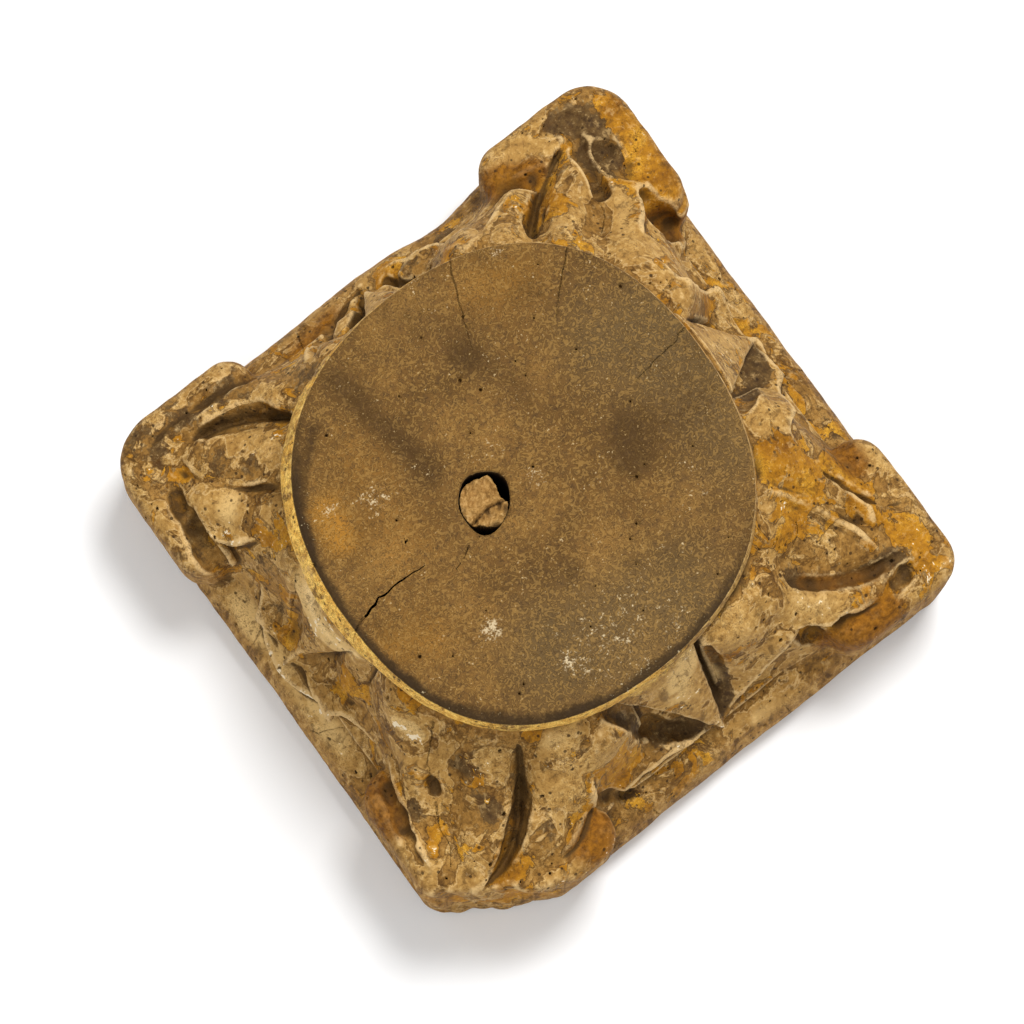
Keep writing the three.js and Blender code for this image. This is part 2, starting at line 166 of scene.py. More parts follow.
# Leaf margins: lift of the side to the left of the line, how far the lift reaches, and the line.
MARGINS = [
    ("UR upper margin", 4, 16, [(141, 10, 36), (140, 21, 36), (130, 33, 49), (116, 35, 108),
     (112, 47, 112), (111, 57, 107)]),
    ("UR lower margin", 5.1, 12, [(116, -64, 96), (116, -49, 106), (129, -29, 50), (139, -6, 37),
     (141, 7, 36)]),
    ("LR right margin", 5.4, 16, [(18, -133, 47), (28, -130, 50), (37, -127, 58), (56, -126, 79),
     (69, -127, 80)]),
    ("LR left margin", 4.5, 14, [(-57, -133, 53), (-39, -132, 49), (-17, -132, 48), (8, -135, 45)]),
    ("LL margin", 5.4, 14, [(-127, 56, 71), (-137, 41, 38), (-142, 22, 35), (-143, 11, 35), (-138, -4, 38),
     (-128, -28, 52), (-128, -50, 62)]),
    ("B left margin", 6, 12, [(-127, -45, 66), (-132, -57, 68), (-138, -73, 73), (-142, -88, 73),
     (-143, -103, 73), (-144, -111, 73)]),
    ("B right margin", 5.1, 12, [(-93, -142, 73), (-79, -139, 73), (-64, -130, 71), (-55, -121, 94)]),
    ("UL margin", 3.6, 14, [(51, 115, 106), (41, 130, 52), (30, 135, 45), (19, 142, 35), (6, 145, 32)]),
    ("L middle margin", 5.4, 12, [(-126, 124, 77), (-122, 111, 77), (-114, 94, 83), (-96, 81, 101)]),
    ("L lower margin", 6, 14, [(-139, 97, 73), (-135, 86, 73), (-127, 71, 82), (-117, 64, 95)]),
    ("T right margin", 6, 14, [(111, 61, 103), (123, 77, 85), (135, 94, 74)]),
    ("T centre left margin", 3.9, 9, [(110, 124, 76), (95, 116, 82), (77, 97, 101)]),
    ("T centre right margin", 3.9, 9, [(109, 96, 86), (112, 110, 83), (113, 122, 78)]),
    ("T left margin", 4.5, 12, [(81, 126, 81), (67, 119, 91), (53, 115, 105)]),
    ("R vein", 3.9, 10, [(126, -113, 75), (129, -99, 79), (123, -85, 83), (118, -77, 89)]),
    ("R lower margin", 5.4, 14, [(61, -123, 88), (78, -130, 76), (92, -135, 74), (108, -139, 74)]),
]

# Pointed side leaves: turn, place at neck and tip, set back at the neck, softness, edge pockets.
SIDE_LEAVES = [
    {"turn": 0, "start": 0.0, "tip": 1.0, "sink": 4.5, "soft": 2.0, "pockets": ((8.5, 0.0, 0.9),)},
    {"turn": 90, "start": 2.0, "tip": 4.0, "sink": 0.0, "soft": 2.0,
     "pockets": ((4.0, 0.1, 0.8), (4.0, 0.1, 0.8))},
    {"turn": 180, "start": -8.0, "tip": -18.0, "sink": -4.0, "soft": 7.0, "pockets": ()},
    {"turn": 270, "start": -7.0, "tip": 13.0, "sink": 2.0, "soft": 2.0,
     "pockets": ((8.0, 0.02, 0.92), (6.0, 0.2, 0.9))},
]
SIDE_LEAF_Z = (124.0, 44.0)
SIDE_LEAF_OUT = (106.0, 136.5)
SIDE_LEAF_ROOT = 90
SIDE_LEAF_AT = 118
SIDE_LEAF_WINDOW = (30, 42, 60)
SIDE_LEAF_HALF = 22.0
SIDE_LEAF_CROWN = 2.5
POCKET_STEPS = 14

# Line of the break across one corner, in plan.
BREAK_FROM = np.array([-149.0, -117.5])
BREAK_TO = np.array([-101.0, -148.0])
BREAK_WINDOW = -70
BREAK_LEAN = 0.02
BREAK_LEVEL = 60

# Peg hole: an uneven oval in plan, blind.
HOLE_CENTRE = np.array([-25.7, 6.3])
HOLE_HALF = (12.3, 14.6)
HOLE_TURN = math.radians(53)
HOLE_DEPTH = 48.0
HOLE_UNEVENNESS = 0.045
HOLE_WINDOW = 20

# Drying cracks: width at the mouth, depth and places along the crack.
CRACKS = [
    (1.35, 9, [(29, 109.5, 140), (27.3, 105.3, 140), (23.4, 97.6, 140), (19.7, 87, 140), (15.8, 77, 140),
     (11.6, 65.6, 140)]),
    (1.2, 8, [(80, 80.5, 140), (76.9, 77.3, 140), (71.5, 72.5, 140), (62.6, 64.6, 140),
     (51.9, 53.5, 140)]),
    (1.2, 8, [(104, 13.5, 140), (96.7, 12.1, 140), (88.6, 10.1, 140), (79.7, 9.4, 140), (71.5, 8, 140),
     (64, 6.8, 140)]),
    (1.6, 10, [(-116, -9, 140), (-112.2, -6.2, 140), (-106.9, -2.9, 140), (-97.4, -0.4, 140),
     (-86.7, 0.6, 140), (-80.3, 1.4, 140), (-65.8, -0.5, 140)]),
    (0.8, 5, [(-43.2, -5.7, 140), (-48.4, -8, 140), (-54.9, -11.2, 140)]),
    (1.2, 6, [(-137, 40, 38), (-143, 38, 34), (-150, 37, 25)]),
    (1, 6, [(-150, -14, 26), (-144, -19, 34), (-135, -24, 39)]),
    (1, 6, [(-41, 146, 32), (-43, 137, 38), (-47, 128, 60)]),
    (1.1, 6, [(110, 95, 85), (108, 86, 89), (101, 81, 96), (93, 76, 108)]),
    (1.3, 7, [(-103, -57, 115), (-114, -67, 97), (-118, -74, 90)]),
    (1.3, 7, [(-122, -84, 84), (-128, -95, 79), (-129, -104, 78), (-134, -112, 75)]),
    (1.4, 6, [(92, -86, 101), (89, -92, 100), (83, -96, 100)]),
    (1.6, 7, [(133, -62, 65), (123, -70, 87), (122, -77, 86)]),
    (0.9, 5, [(-113, 37, 113), (-127, 31, 56), (-137, 21, 38)]),
    (2.2, 10, [(150, 38, 3), (150, 37, 14), (149, 39, 24), (146, 38, 31)]),
    (1.6, 8, [(150, -22, 30), (150, -23, 20), (150, -21, 9)]),
    (1.5, 8, [(153, 96, 64), (153, 97, 50), (152, 95, 36), (150, 96, 18)]),
    (2, 9, [(46, -148, 4), (47, -148, 14), (45, -147, 26)]),
    (1.4, 8, [(-36, -148, 28), (-35, -148, 18), (-37, -148, 8)]),
    (1.8, 8, [(112, -151, 62), (113, -151, 48), (111, -150, 36), (112, -149, 22)]),
    (1.7, 8, [(-150, -70, 4), (-150, -71, 15), (-150, -69, 27)]),
    (2, 9, [(-153, 112, 66), (-154, 113, 52), (-154, 111, 40), (-150, 112, 24)]),
    (2, 9, [(62, 150, 3), (63, 150, 12), (61, 149, 24)]),
    (1.5, 8, [(-92, 150, 60), (-93, 150, 46), (-91, 150, 33)]),
    (1.5, 8, [(110, 152, 64), (111, 152, 50), (109, 151, 38)]),
    (0.9, 6, [(103, 13, 126), (102, 13, 118), (101, 14, 108)]),
]
CRACK_MOUTH = 1.5
CRACK_STEP = 2.5

# Worm borings: how many at most, how long, and how far from each other and from the cracks.
WORMS = 760
WORM_SEED = 11
WORM_TRIES = 8
WORM_FLOOR = 8
WORM_FACE_SHARE = 0.18
WORM_LENGTH = 2.5
WORM_GAP = 2.9
WORM_SIDES = 6
WORM_CLEAR = 13**0.5

# Where paint survives on the carving, by kind: amount, radius and places. Grey and deep also carry painted
# shade in grooves, pockets and under the ears, and white marks chips.
PATCHES = {
    "ochre": [
        (1.7, 12, [(149, 94, 71), (142, 81, 72)]), (1, 4.9, [(81, 133, 74), (91, 126, 81)]),
        (0.8, 6.8, [(143, 134, 72), (147, 122, 72)]), (0.8, 4.4, [(84, 104, 92), (96, 116, 82)]),
        (0.8, 4.9, [(114, 75, 92), (127, 84, 81)]), (0.9, 6.8, [(123, 24, 61)]),
        (0.3, 5.4, [(145, 1, 33), (139, -36, 37), (140, -55, 36)]),
        (1, 10.7, [(100, -63, 113), (103, -76, 97), (91, -83, 104)]), (0.7, 8.8, [(129, -77, 79)]),
        (0.6, 6.8, [(119, -97, 81), (131, -114, 75), (138, -130, 73)]),
        (1, 9.8, [(84, -145, 71), (98, -150, 70)]), (0.6, 6.8, [(102, -128, 78)]),
        (1.1, 9.8, [(-65, -142, 71)]), (0.6, 7.8, [(-31, -128, 52), (-44, -124, 77)]),
        (0.8, 4.9, [(-70, -90, 115)]), (0.5, 4.9, [(-84, -84, 110)]), (0.6, 4.9, [(-128, -95, 79)]),
        (0.4, 6.8, [(-75, -120, 88)]), (0.45, 6.8, [(-123, -8, 57), (-118, -21, 76)]),
        (0.6, 3.9, [(-122, 40, 85), (-134, 27, 46)]), (0.7, 5.9, [(-129, 116, 74)]),
        (0.5, 4.9, [(-153, 73, 1)]), (0.5, 3.9, [(-106, 47, 117)]), (0.7, 6.8, [(12, 142, 35)]),
        (0.7, 4.9, [(35, 116, 108)]), (0.4, 6.8, [(32, -117, 101), (-5, -108, 79)]),
        (0.5, 6.8, [(-106, -130, 77)]), (0.5, 4.9, [(-5, -135, 45)]),
        (1, 4.5, [(92, 112, 86), (90, 101, 98)]),
        (0.8, 8, [(-145, -119, 50), (-135, -128, 45), (-120, -138, 40), (-104, -148, 45)]),
    ],
    "cream": [
        (0.3, 7.8, [(97, 104, 89), (89, 92, 100)]), (0.2, 5.9, [(67, 112, 98)]),
        (0.8, 6.8, [(119, 88, 84), (108, 72, 98)]), (0.4, 6.8, [(92, 144, 73)]),
        (0.6, 5.9, [(126, 40, 67), (112, 57, 104)]), (0.7, 7.8, [(118, 9, 59), (116, -6, 60)]),
        (0.7, 8, [(107, 7, 114), (111, 2, 100), (120, 3, 80)]), (0.7, 5, [(108, -12, 108)]),
        (0.5, 6.8, [(110, -45, 114)]), (0.8, 6.8, [(68, -114, 96), (84, -127, 81)]),
        (0.7, 7.8, [(45, -107, 117)]), (0.9, 6.8, [(151, -86, 70)]), (0.6, 4.9, [(99, -90, 94)]),
        (0.6, 7.8, [(38, -117, 107), (15, -108, 118)]),
        (1.7, 8, [(4, -113, 68), (17, -112, 71), (0, -110, 90), (6, -108, 112)]),
        (0.4, 9.8, [(28, -141, 36)]), (0.8, 6.8, [(-86, -85, 107)]), (0.8, 4.9, [(-65, -97, 112)]),
        (0.7, 5.9, [(-49, -117, 103)]), (0.8, 6.8, [(-115, -50, 107)]),
        (0.9, 6.8, [(-70, -113, 95), (-82, -124, 84)]), (0.6, 5.9, [(-133, -126, 74)]),
        (0.8, 2.9, [(-128, -53, 67), (-135, -80, 73), (-143, -107, 73)]), (0.9, 6.8, [(-90, 92, 99)]),
        (1.3, 8.8, [(-119, 85, 86)]), (0.6, 5.9, [(-131, 98, 77)]),
        (3.2, 6.5, [(-113, 34, 128), (-114, 28, 111), (-115, 23, 100), (-117, 16, 97), (-116, 8, 98),
         (-113, -5, 99)]),
        (1.6, 2.6, [(-117, -45, 105), (-113, -52, 108), (-111, -57, 106)]),
        (0.8, 6, [(-59, -99, 118), (-51, -100, 120)]),
        (1, 9, [(-141, 55, 35), (-143, 41, 34), (-142, 28, 39), (-142, -13, 33), (-140, -27, 35)]),
        (0.6, 9, [(31, -145, 30), (50, -146, 30)]), (0.5, 7.8, [(-142, 46, 35)]),
        (0.4, 6.8, [(-142, -13, 35)]), (0.4, 5.9, [(-11, 141, 36)]), (1.2, 4.5, [(97, -70, 111)]),
        (1.2, 4.5, [(89, -82, 107)]),
    ],
    # Grey: darker weathered patches, and painted shade laid in the grooves and pockets that the leaves
    # overhang.
    "grey": [
        (1.1, 6.4, [(117, 140, 74), (126, 136, 73), (134, 126, 74)]),
        (1.4, 4.5, [(134, -6, 47), (126, -14, 52), (112, -23, 81)]),
        (1.4, 4.5, [(-30, -110, 97), (-16, -120, 59), (-1, -128, 52)]),
        (1.4, 4, [(25, -117, 77), (22, -125, 57), (16, -130, 50)]),
        (0.35, 10, [(-108, 108, 89), (-99, 99, 94)]), (1, 5.9, [(122, 119, 78), (130, 107, 77)]),
        (1, 5.9, [(130, 69, 74)]), (1, 4.9, [(128, -12, 51)]), (0.9, 4.9, [(-131, -78, 76)]),
        (0.9, 4.9, [(-102, -80, 95)]), (0.9, 3.9, [(-104, -103, 87)]), (0.9, 5.9, [(-86, -123, 84)]),
        (0.7, 7, [(-142, -60, 71), (-146, -76, 71)]), (1, 4.4, [(-98, 99, 91)]),
        (0.45, 11.7, [(-137, 150, 70), (-136, 133, 73), (-111, 134, 75)]), (0.7, 7.8, [(-87, 138, 73)]),
        (0.5, 4.9, [(-121, 29, 76)]), (0.7, 4.9, [(3, -132, 48)]), (0.5, 4.9, [(-21, -127, 53)]),
        (0.5, 6.8, [(-20, 90, 140), (-59, 111, 104)]), (0.5, 5.9, [(111, 12, 67)]),
        (0.35, 8, [(-102, -84, 101), (-104, -104, 91)]), (0.3, 7, [(-91, 133, 80), (-77, 126, 86)]),
        (0.5, 8, [(-153, 87, 69), (-152, 75, 50)]), (0.5, 7, [(28, 138, 49), (48, 140, 31)]),
        (0.5, 6, [(102, 116, 87), (102, 108, 92)]),
        (1.3, 4.5, [(73, -108, 97), (98, -122, 80), (124, -128, 75)]),
    ],
    # Deep: darker ochre brown, mostly painted shade on the ear walls and under the ears, and a soiled ochre
    # on the shelf.
    "deep": [
        (1, 7, [(76, 135, 71), (84, 132, 75), (92, 128, 77)]), (1, 7, [(135, -72, 70), (134, -79, 73)]),
        (1, 9, [(-66, -141, 72), (-74, -145, 73)]),
        (1, 9, [(79, -141, 53), (89, -146, 71), (104, -146, 72)]),
        (1.2, 8, [(129, 76, 56), (134, 70, 50)]), (0.9, 9, [(-142, -60, 71), (-146, -76, 71)]),
        (0.9, 5, [(78, -110, 87), (95, -121, 76), (115, -128, 69)]),
        (0.6, 9, [(-44, 138, 36), (-24, 140, 35)]),
    ],
    "white": [
        (1, 1.9, [(-118, -45, 104), (-115, -50, 106)]), (1, 1.9, [(-114, -55, 104), (-112, -59, 103)]),
        (0.45, 3, [(132, -144, 72), (138, -143, 72)]), (0.7, 3, [(-104, -147, 60), (-96, -148, 70)]),
        (0.8, 2.4, [(134, 144, 72), (128, 141, 72), (130, 135, 73)]),
    ],
}

# Marks on the bearing face, by kind: amount, radius and places.
STAINS = {
    "stain": [
        (0.9, 6.8, [(-49, 94), (-46, 75), (-41, 53), (-38, 33)]),
        (0.45, 7.8, [(-11, 106), (5, 83), (30, 78), (50, 71)]), (0.9, 7.3, [(7, 66)]),
        (0.9, 8.8, [(45, -10), (42, -19)]), (0.9, 4.4, [(-11, -45)]),
        (1.6, 2.6, [(-71, 82), (-89, 67), (-102, 48), (-110, 28), (-113, 6), (-112, -8), (-109, -26),
         (-103, -42)]),
        (1.2, 2, [(-97, -55), (-78, -76), (-56, -93), (-30, -104), (-9, -107), (16, -106)]),
        (0.5, 7.8, [(16, 50), (17, 35)]), (0.5, 22, [(90, 3), (78, -20)]),
    ],
    "amber": [
        (1, 6.3, [(-89, 48), (-91, 34)]), (0.5, 11.7, [(-84, -29), (-102, -21)]),
        (0.4, 19.5, [(-64, 54), (-68, 16)]), (0.5, 14.6, [(49, 78), (31, 86)]),
    ],
    "cold": [
        (1.1, 24.4, [(-13, -84), (-38, -70), (21, -86)]), (0.9, 22, [(91, -1), (84, -42)]),
        (0.9, 24, [(66, 32), (84, 24)]),
    ],
    "chalk": [
        (1, 4.4, [(-59, -43)]), (0.9, 3.4, [(-38, -76)]), (0.8, 3.9, [(0, 1)]), (0.6, 6.8, [(-67, 38)]),
        (1.1, 1, [(59, -54)]), (0.8, 2.4, [(44, -98)]), (0.35, 16.6, [(4, -85), (-20, -78)]),
        (0.6, 2.9, [(47, 96)]), (0.6, 2.9, [(-86, 48)]),
    ],
}

# Marks worked out from the form: reaches that find hollows, outer faces, neck band and hole.
HOLLOW_REACHES = (3.0, 6.0, 10.0, 16.0)
OUTER_FACES = 139
BAND_Z = 119
BAND_REACH = (98, 119)
BAND_TOWARDS = math.radians(195)
BORE_REACH = 19

# Peg stump: outline by angle about the hole's centre, and the split across its torn top.
PEG_OUTLINE = [
    (-21, 7.9), (3, 8.1), (25, 10), (47, 12.6), (67, 11.2), (95, 11.9), (114, 12.2), (135, 12.0),
    (154, 11.8), (186, 12.0), (209, 12.4), (221, 10.6), (244, 11.3), (268, 12.8), (292, 12.7),
    (306, 11.8), (325, 11.0), (339, 7.9), (363, 8.1),
]
PEG_SPLIT = [(-13, -5.0), (-8.5, -4.3), (-4, -3.5), (-0.2, -2.9), (3.2, -3.6), (7.1, -4.6), (14, -6)]
PEG_TOP = 136.5
PEG_FLOOR = 94.0
PEG_VOXEL = 0.4
PEG_REACH = 16
PEG_PLAIN = 130
PEG_CLEARANCE = 0.35
PEG_STRANDS = 26
PEG_SEED = 21

# Thinning of the meshes: share taken from plain places, how even, and the triangles left.
LOOSE_SHARE = 0.9
EVENNESS = 0.03
BLOCK_TRIANGLES = 146000
PEG_TRIANGLES = 20000

# Looks, in metres: where the bearing face and the underside begin, the dark rim, bump and shine.
FACE_Z = (0.1385, 0.1393)
UNDERSIDE_Z = (0.003, 0.0015)
RIM_REACH = (0.1095, 0.1135)
BLOCK_BUMP = 0.0016
PEG_BUMP = 0.0008
BUMP_STRENGTH = 0.7
SHINE = 0.15

# Camera of the photograph, in metres and degrees, and two soft lights placed from it.
CAMERA_AZIMUTH = math.radians(-37.07)
CAMERA_ELEVATION = math.radians(80)
CAMERA_DISTANCE = 2.2
CAMERA_LENS = 157.68
CAMERA_SENSOR = 36
AIM_HEIGHT = 0.016
AIM_RIGHT = -0.01105
AIM_UP = 0.00573
KEY_LIGHT = {"right": 0.48, "level": 0.82, "height": 2.1, "size": 0.75, "power": 44.5}
FILL_LIGHT = {"right": -0.5, "level": -1.1, "height": 1.9, "size": 1.8, "power": 16}
LIGHT_AIM = (0, 0, 0.05)
WORLD_STRENGTH = 0.5
FLOOR_HALF = 6
FLOOR_COLOUR = (0.88, 0.88, 0.88, 1)
FLOOR_ROUGHNESS = 0.9

GX, GY, GZ = (np.arange(LOW[k], HIGH[k], VOXEL, dtype=np.float32) for k in range(3))


def smooth_min(a, b, k):
    """Union of two distance fields with a fillet about k wide."""
    h = np.clip(0.5 + 0.5 * (b - a) / k, 0, 1)
    return b * (1 - h) + a * h - k * h * (1 - h)


def smooth_max(a, b, k):
    """Intersection of two distance fields with a rounding about k wide."""
    return -smooth_min(-a, -b, k)


def rounded(a, b, radius):
    """Intersection of two distance fields with a true round edge."""
    a = a + radius
    b = b + radius
    return np.minimum(np.maximum(a, b), 0) + np.hypot(np.maximum(a, 0), np.maximum(b, 0)) - radius


def along(table, x):
    """Smooth line through a short table of (x, y) pairs."""
    table = np.asarray(table, float)
    px, py = table[:, 0], table[:, 1]
    slope = np.gradient(py, px)
    i = np.clip(np.searchsorted(px, x) - 1, 0, len(px) - 2)
    h = px[i + 1] - px[i]
    t = np.clip((x - px[i]) / h, 0, 1)
    ends = py[i] * (1 + 2 * t) * (1 - t) ** 2 + py[i + 1] * t * t * (3 - 2 * t)
    rise = slope[i] * h * t * (1 - t) ** 2 - slope[i + 1] * h * t * t * (1 - t)
    return (ends + rise).astype(np.float32)


def window(low, high):
    """Slices of the grid inside a box, with the coordinates there as open arrays."""
    cut = tuple(
        slice(int(np.searchsorted(g, a)), int(np.searchsorted(g, b)))
        for g, a, b in zip((GX, GY, GZ), low, high)
    )
    return cut, GX[cut[0]][:, None, None], GY[cut[1]][None, :, None], GZ[cut[2]][None, None, :]


def corner_window(sign, bottom, top):
    """Part of the grid around one corner."""
    low = [INNER if s > 0 else -OUTER for s in sign]
    high = [OUTER if s > 0 else -INNER for s in sign]
    return window(low + [bottom], high + [top])


def spline_rows(grid, step, cells):
    """Cubic B-spline weights that spread a coarse lattice over one axis of the grid."""
    t = (grid - grid[0]) / step
    i = np.floor(t).astype(int)
    f = t - i
    weights = ((1 - f) ** 3, 3 * f**3 - 6 * f**2 + 4, -3 * f**3 + 3 * f**2 + 3 * f + 1, f**3)
    rows = np.zeros((len(grid), cells), np.float32)
    for k, weight in enumerate(weights):
        rows[np.arange(len(grid)), i + k] = weight / 6
    return rows


def lattice_noise(amount, step, seed):
    """Smooth random field on the whole grid, about as strong as the amount, with the given steps."""
    rng = np.random.default_rng(seed)
    cells = [int(len(g) * VOXEL / s) + 5 for g, s in zip((GX, GY, GZ), step)]
    lattice = rng.uniform(-1, 1, cells).astype(np.float32) * 1.8
    rows = [spline_rows(g, s, c) for g, s, c in zip((GX, GY, GZ), step, cells)]
    out = np.tensordot(rows[0], lattice, (1, 0))
    out = np.tensordot(rows[1], out, (1, 1)).transpose(1, 0, 2)
    return amount * np.tensordot(out, rows[2], (2, 1))


def body_field():
    """Plinth, shelf, lip, waist and neck."""
    table = np.array(BODY, float)
    half = along(table[:, :2], GZ)
    power = np.interp(GZ, table[:, 0], table[:, 2])
    neck = np.interp(GZ, table[:, 0], table[:, 3])
    steep = np.gradient(half, GZ)
    swell = along(SWELL, GZ)
    towards = GX[:, None] * math.cos(SWELL_TOWARDS) + GY[None, :] * math.sin(SWELL_TOWARDS)
    field = np.empty((len(GX), len(GY), len(GZ)), np.float32)
    for k in range(len(GZ)):
        x = np.abs(GX[:, None] - neck[k] * NECK_CENTRE[0])
        y = np.abs(GY[None, :] - neck[k] * NECK_CENTRE[1])
        m = np.maximum(x, y) + 1e-3
        norm = m * ((x / m) ** power[k] + (y / m) ** power[k]) ** (1 / power[k])
        cos2 = (x * x - y * y) / (x * x + y * y + 1)
        uneven = NECK_SQUARING * (2 * cos2 * cos2 - 1) + NECK_OVAL * cos2
        grown = half[k] + swell[k] * np.clip(towards / (norm + 1), 0, 1) ** 4
        field[:, :, k] = (norm + neck[k] * uneven - grown) / math.sqrt(1 + min(abs(steep[k]), 2.0) ** 2)
    return field


def add_curl(field, sign, ears, outer, corner):
    """One curled corner block, an L in plan with rounded section."""
    cut, x, y, z = corner_window(sign, *CURL_WINDOW)
    x, y = x * sign[0], y * sign[1]

    def bar(cx, cy, hx, hy, radius):
        return rounded(np.abs(x - cx) - hx, np.abs(y - cy) - hy, radius)

    half = CURL_WIDTH / 2
    along_y = bar(outer[0] - half, (ears[0] + outer[1]) / 2, half, (outer[1] - ears[0]) / 2, CURL_END)
    along_x = bar((ears[1] + outer[0]) / 2, outer[1] - half, (outer[0] - ears[1]) / 2, half, CURL_END)
    plan = smooth_min(along_x, along_y, 10)
    plan = np.maximum(plan, bar(0, 0, outer[0], outer[1], corner))
    middle = sum(CURL_Z) / 2
    curl = rounded(plan, np.abs(z - middle) - (CURL_Z[1] - middle), CURL_ROUND)
    field[cut] = smooth_min(field[cut], curl, 3.0)


def add_leaf(field, sign):
    """One three-lobed corner leaf with sloping edges."""
    cut, x, y, z = corner_window(sign, LEAF_FLOOR - 6, LEAF_TOP)
    u = (sign[0] * x + sign[1] * y) / math.sqrt(2)
    v = (sign[1] * y - sign[0] * x) / math.sqrt(2)
    wide = along(LEAF_WIDTH, u)
    q = np.clip(v / wide, -1.3, 1.3)
    top = along(LEAF_SPINE, u) + LEAF_LOBE * (np.abs(np.cos(1.5 * np.pi * q)) - 1) - LEAF_DROOP * q * q
    rise = (along(LEAF_SPINE, u + 1) - along(LEAF_SPINE, u - 1)) / 2
    over = (z - top) / np.sqrt(1 + rise * rise)
    fall = np.clip((top - z) / (top - LEAF_FLOOR + 1), 0, 1)
    share = np.clip((LEAF_BATTER_ENDS[0] - u) / (LEAF_BATTER_ENDS[0] - LEAF_BATTER_ENDS[1]), 0, 1)
    edge = (np.abs(v) - wide - LEAF_BATTER * share * fall) * 0.9
    leaf = smooth_max(smooth_max(over, edge, 5), LEAF_FLOOR - z, 2)
    leaf = smooth_max(leaf, u - LEAF_END, 5)
    field[cut] = smooth_min(field[cut], leaf, 4.0)


def wear_slab(field):
    """The slab's sides where they have shrunk and worn back."""
    cut, x, y, z = window(LOW, (HIGH[0], HIGH[1], WORN_TOP + 2))
    low_down = np.clip((WORN_TOP - z) / 10, 0, 1)
    for towards, place, spread, depth in WORN:
        out = x * towards[0] + y * towards[1]
        side = x * towards[1] - y * towards[0]
        worn = depth * np.exp(-((side - place) / spread) ** 2)
        field[cut] += worn * np.clip((out - WORN_FROM) / WORN_FADE, 0, 1) * low_down


def base_field():
    """The block before the carver's strokes."""
    field = body_field()
    wear_slab(field)
    for corner in CORNERS.values():
        add_curl(field, corner["sign"], corner["ears"], corner["outer"], corner["corner"])
    for corner in CORNERS.values():
        add_leaf(field, corner["sign"])
    z = GZ[None, None, :]
    field = smooth_max(field, z - HEIGHT + 0 * field, 1.5)
    return smooth_max(field, -z + 0 * field, 1.0)


def sample(field, p):
    """Field value at points, by trilinear interpolation."""
    g = (p - np.array(LOW)) / VOXEL
    i = np.clip(np.floor(g).astype(int), 0, np.array(field.shape) - 2)
    t = np.clip(g - i, 0, 1)
    out = 0
    for a, b, c in np.ndindex(2, 2, 2):
        w = np.abs(1 - a - t[:, 0]) * np.abs(1 - b - t[:, 1]) * np.abs(1 - c - t[:, 2])
        out = out + w * field[i[:, 0] + a, i[:, 1] + b, i[:, 2] + c]
    return out


def slope(field, p, reach=2.0):
    """Unit direction of steepest rise of the field at points."""
    g = np.stack([sample(field, p + reach * e) - sample(field, p - reach * e) for e in np.eye(3)], 1)
    return g / (np.linalg.norm(g, axis=1, keepdims=True) + 1e-9)


def bending(field, p, normal, reach):
    """How the surface falls away around points: above zero on edges, below zero in dips."""
    u = np.cross(normal, (0.31, 0.52, 0.79))
    u /= np.linalg.norm(u, axis=1, keepdims=True) + 1e-9
    v = np.cross(normal, u)
    turns = np.arange(8) * np.pi / 4
    around = (sample(field, p + reach * (math.cos(a) * u + math.sin(a) * v)) for a in turns)
    return sum(around) / (len(turns) * reach)


def curve_through(points, spacing=3.0):
    """Evenly spread points on a smooth curve through a few given ones."""
    p = np.asarray(points, float)
    if len(p) == 2:
        p = np.array([p[0], p.mean(0), p[1]])
    q = np.vstack([2 * p[0] - p[1], p, 2 * p[-1] - p[-2]])
    out = []
    for k in range(1, len(q) - 2):
        a, b, c, d = q[k - 1:k + 3]
        n = max(2, int(np.linalg.norm(c - b) / spacing))
        t = np.linspace(0, 1, n, endpoint=False)[:, None]
        bent = (2 * a - 5 * b + 4 * c - d) * t**2 + (3 * b - a - 3 * c + d) * t**3
        out.append(0.5 * (2 * b + (c - a) * t + bent))
    return np.vstack(out + [p[-1:]])


def on_surface(field, points, spacing=3.0, rounds=4, stride=4):
    """Points of a smooth curve moved onto the surface, with the outward directions there."""
    p = curve_through(points, spacing)
    for _ in range(rounds):
        p = p - np.clip(sample(field, p), -stride, stride)[:, None] * slope(field, p)
    return p, slope(field, p)


def across_line(p, n):
    """Unit directions on the surface to the left of a line."""
    across = np.cross(n, np.gradient(p, axis=0))
    return across / np.linalg.norm(across, axis=1, keepdims=True)


def to_line(x, y, z, a, b):
    """Share along the line from a to b nearest to grid points, offsets from there and their square."""
    ab = b - a
    run = (x - a[0]) * ab[0] + (y - a[1]) * ab[1] + (z - a[2]) * ab[2]
    h = np.clip(run / (ab @ ab + 1e-6), 0, 1)
    offset = (x - a[0] - ab[0] * h, y - a[1] - ab[1] * h, z - a[2] - ab[2] * h)
    return h, offset, sum(r * r for r in offset)


def tube(centres, radii, margin=6):
    """Distance to a chain of round cones, on the part of the grid around it."""
    reach = radii[:, None] + margin
    cut, x, y, z = window((centres - reach).min(0), (centres + reach).max(0))
    best = np.full((x.size, y.size, z.size), FAR, np.float32)
    for a, b, ra, rb in zip(centres[:-1], centres[1:], radii[:-1], radii[1:]):
        h, _, square = to_line(x, y, z, a, b)
        best = np.minimum(best, np.sqrt(square) - (ra + (rb - ra) * h))
    return cut, best


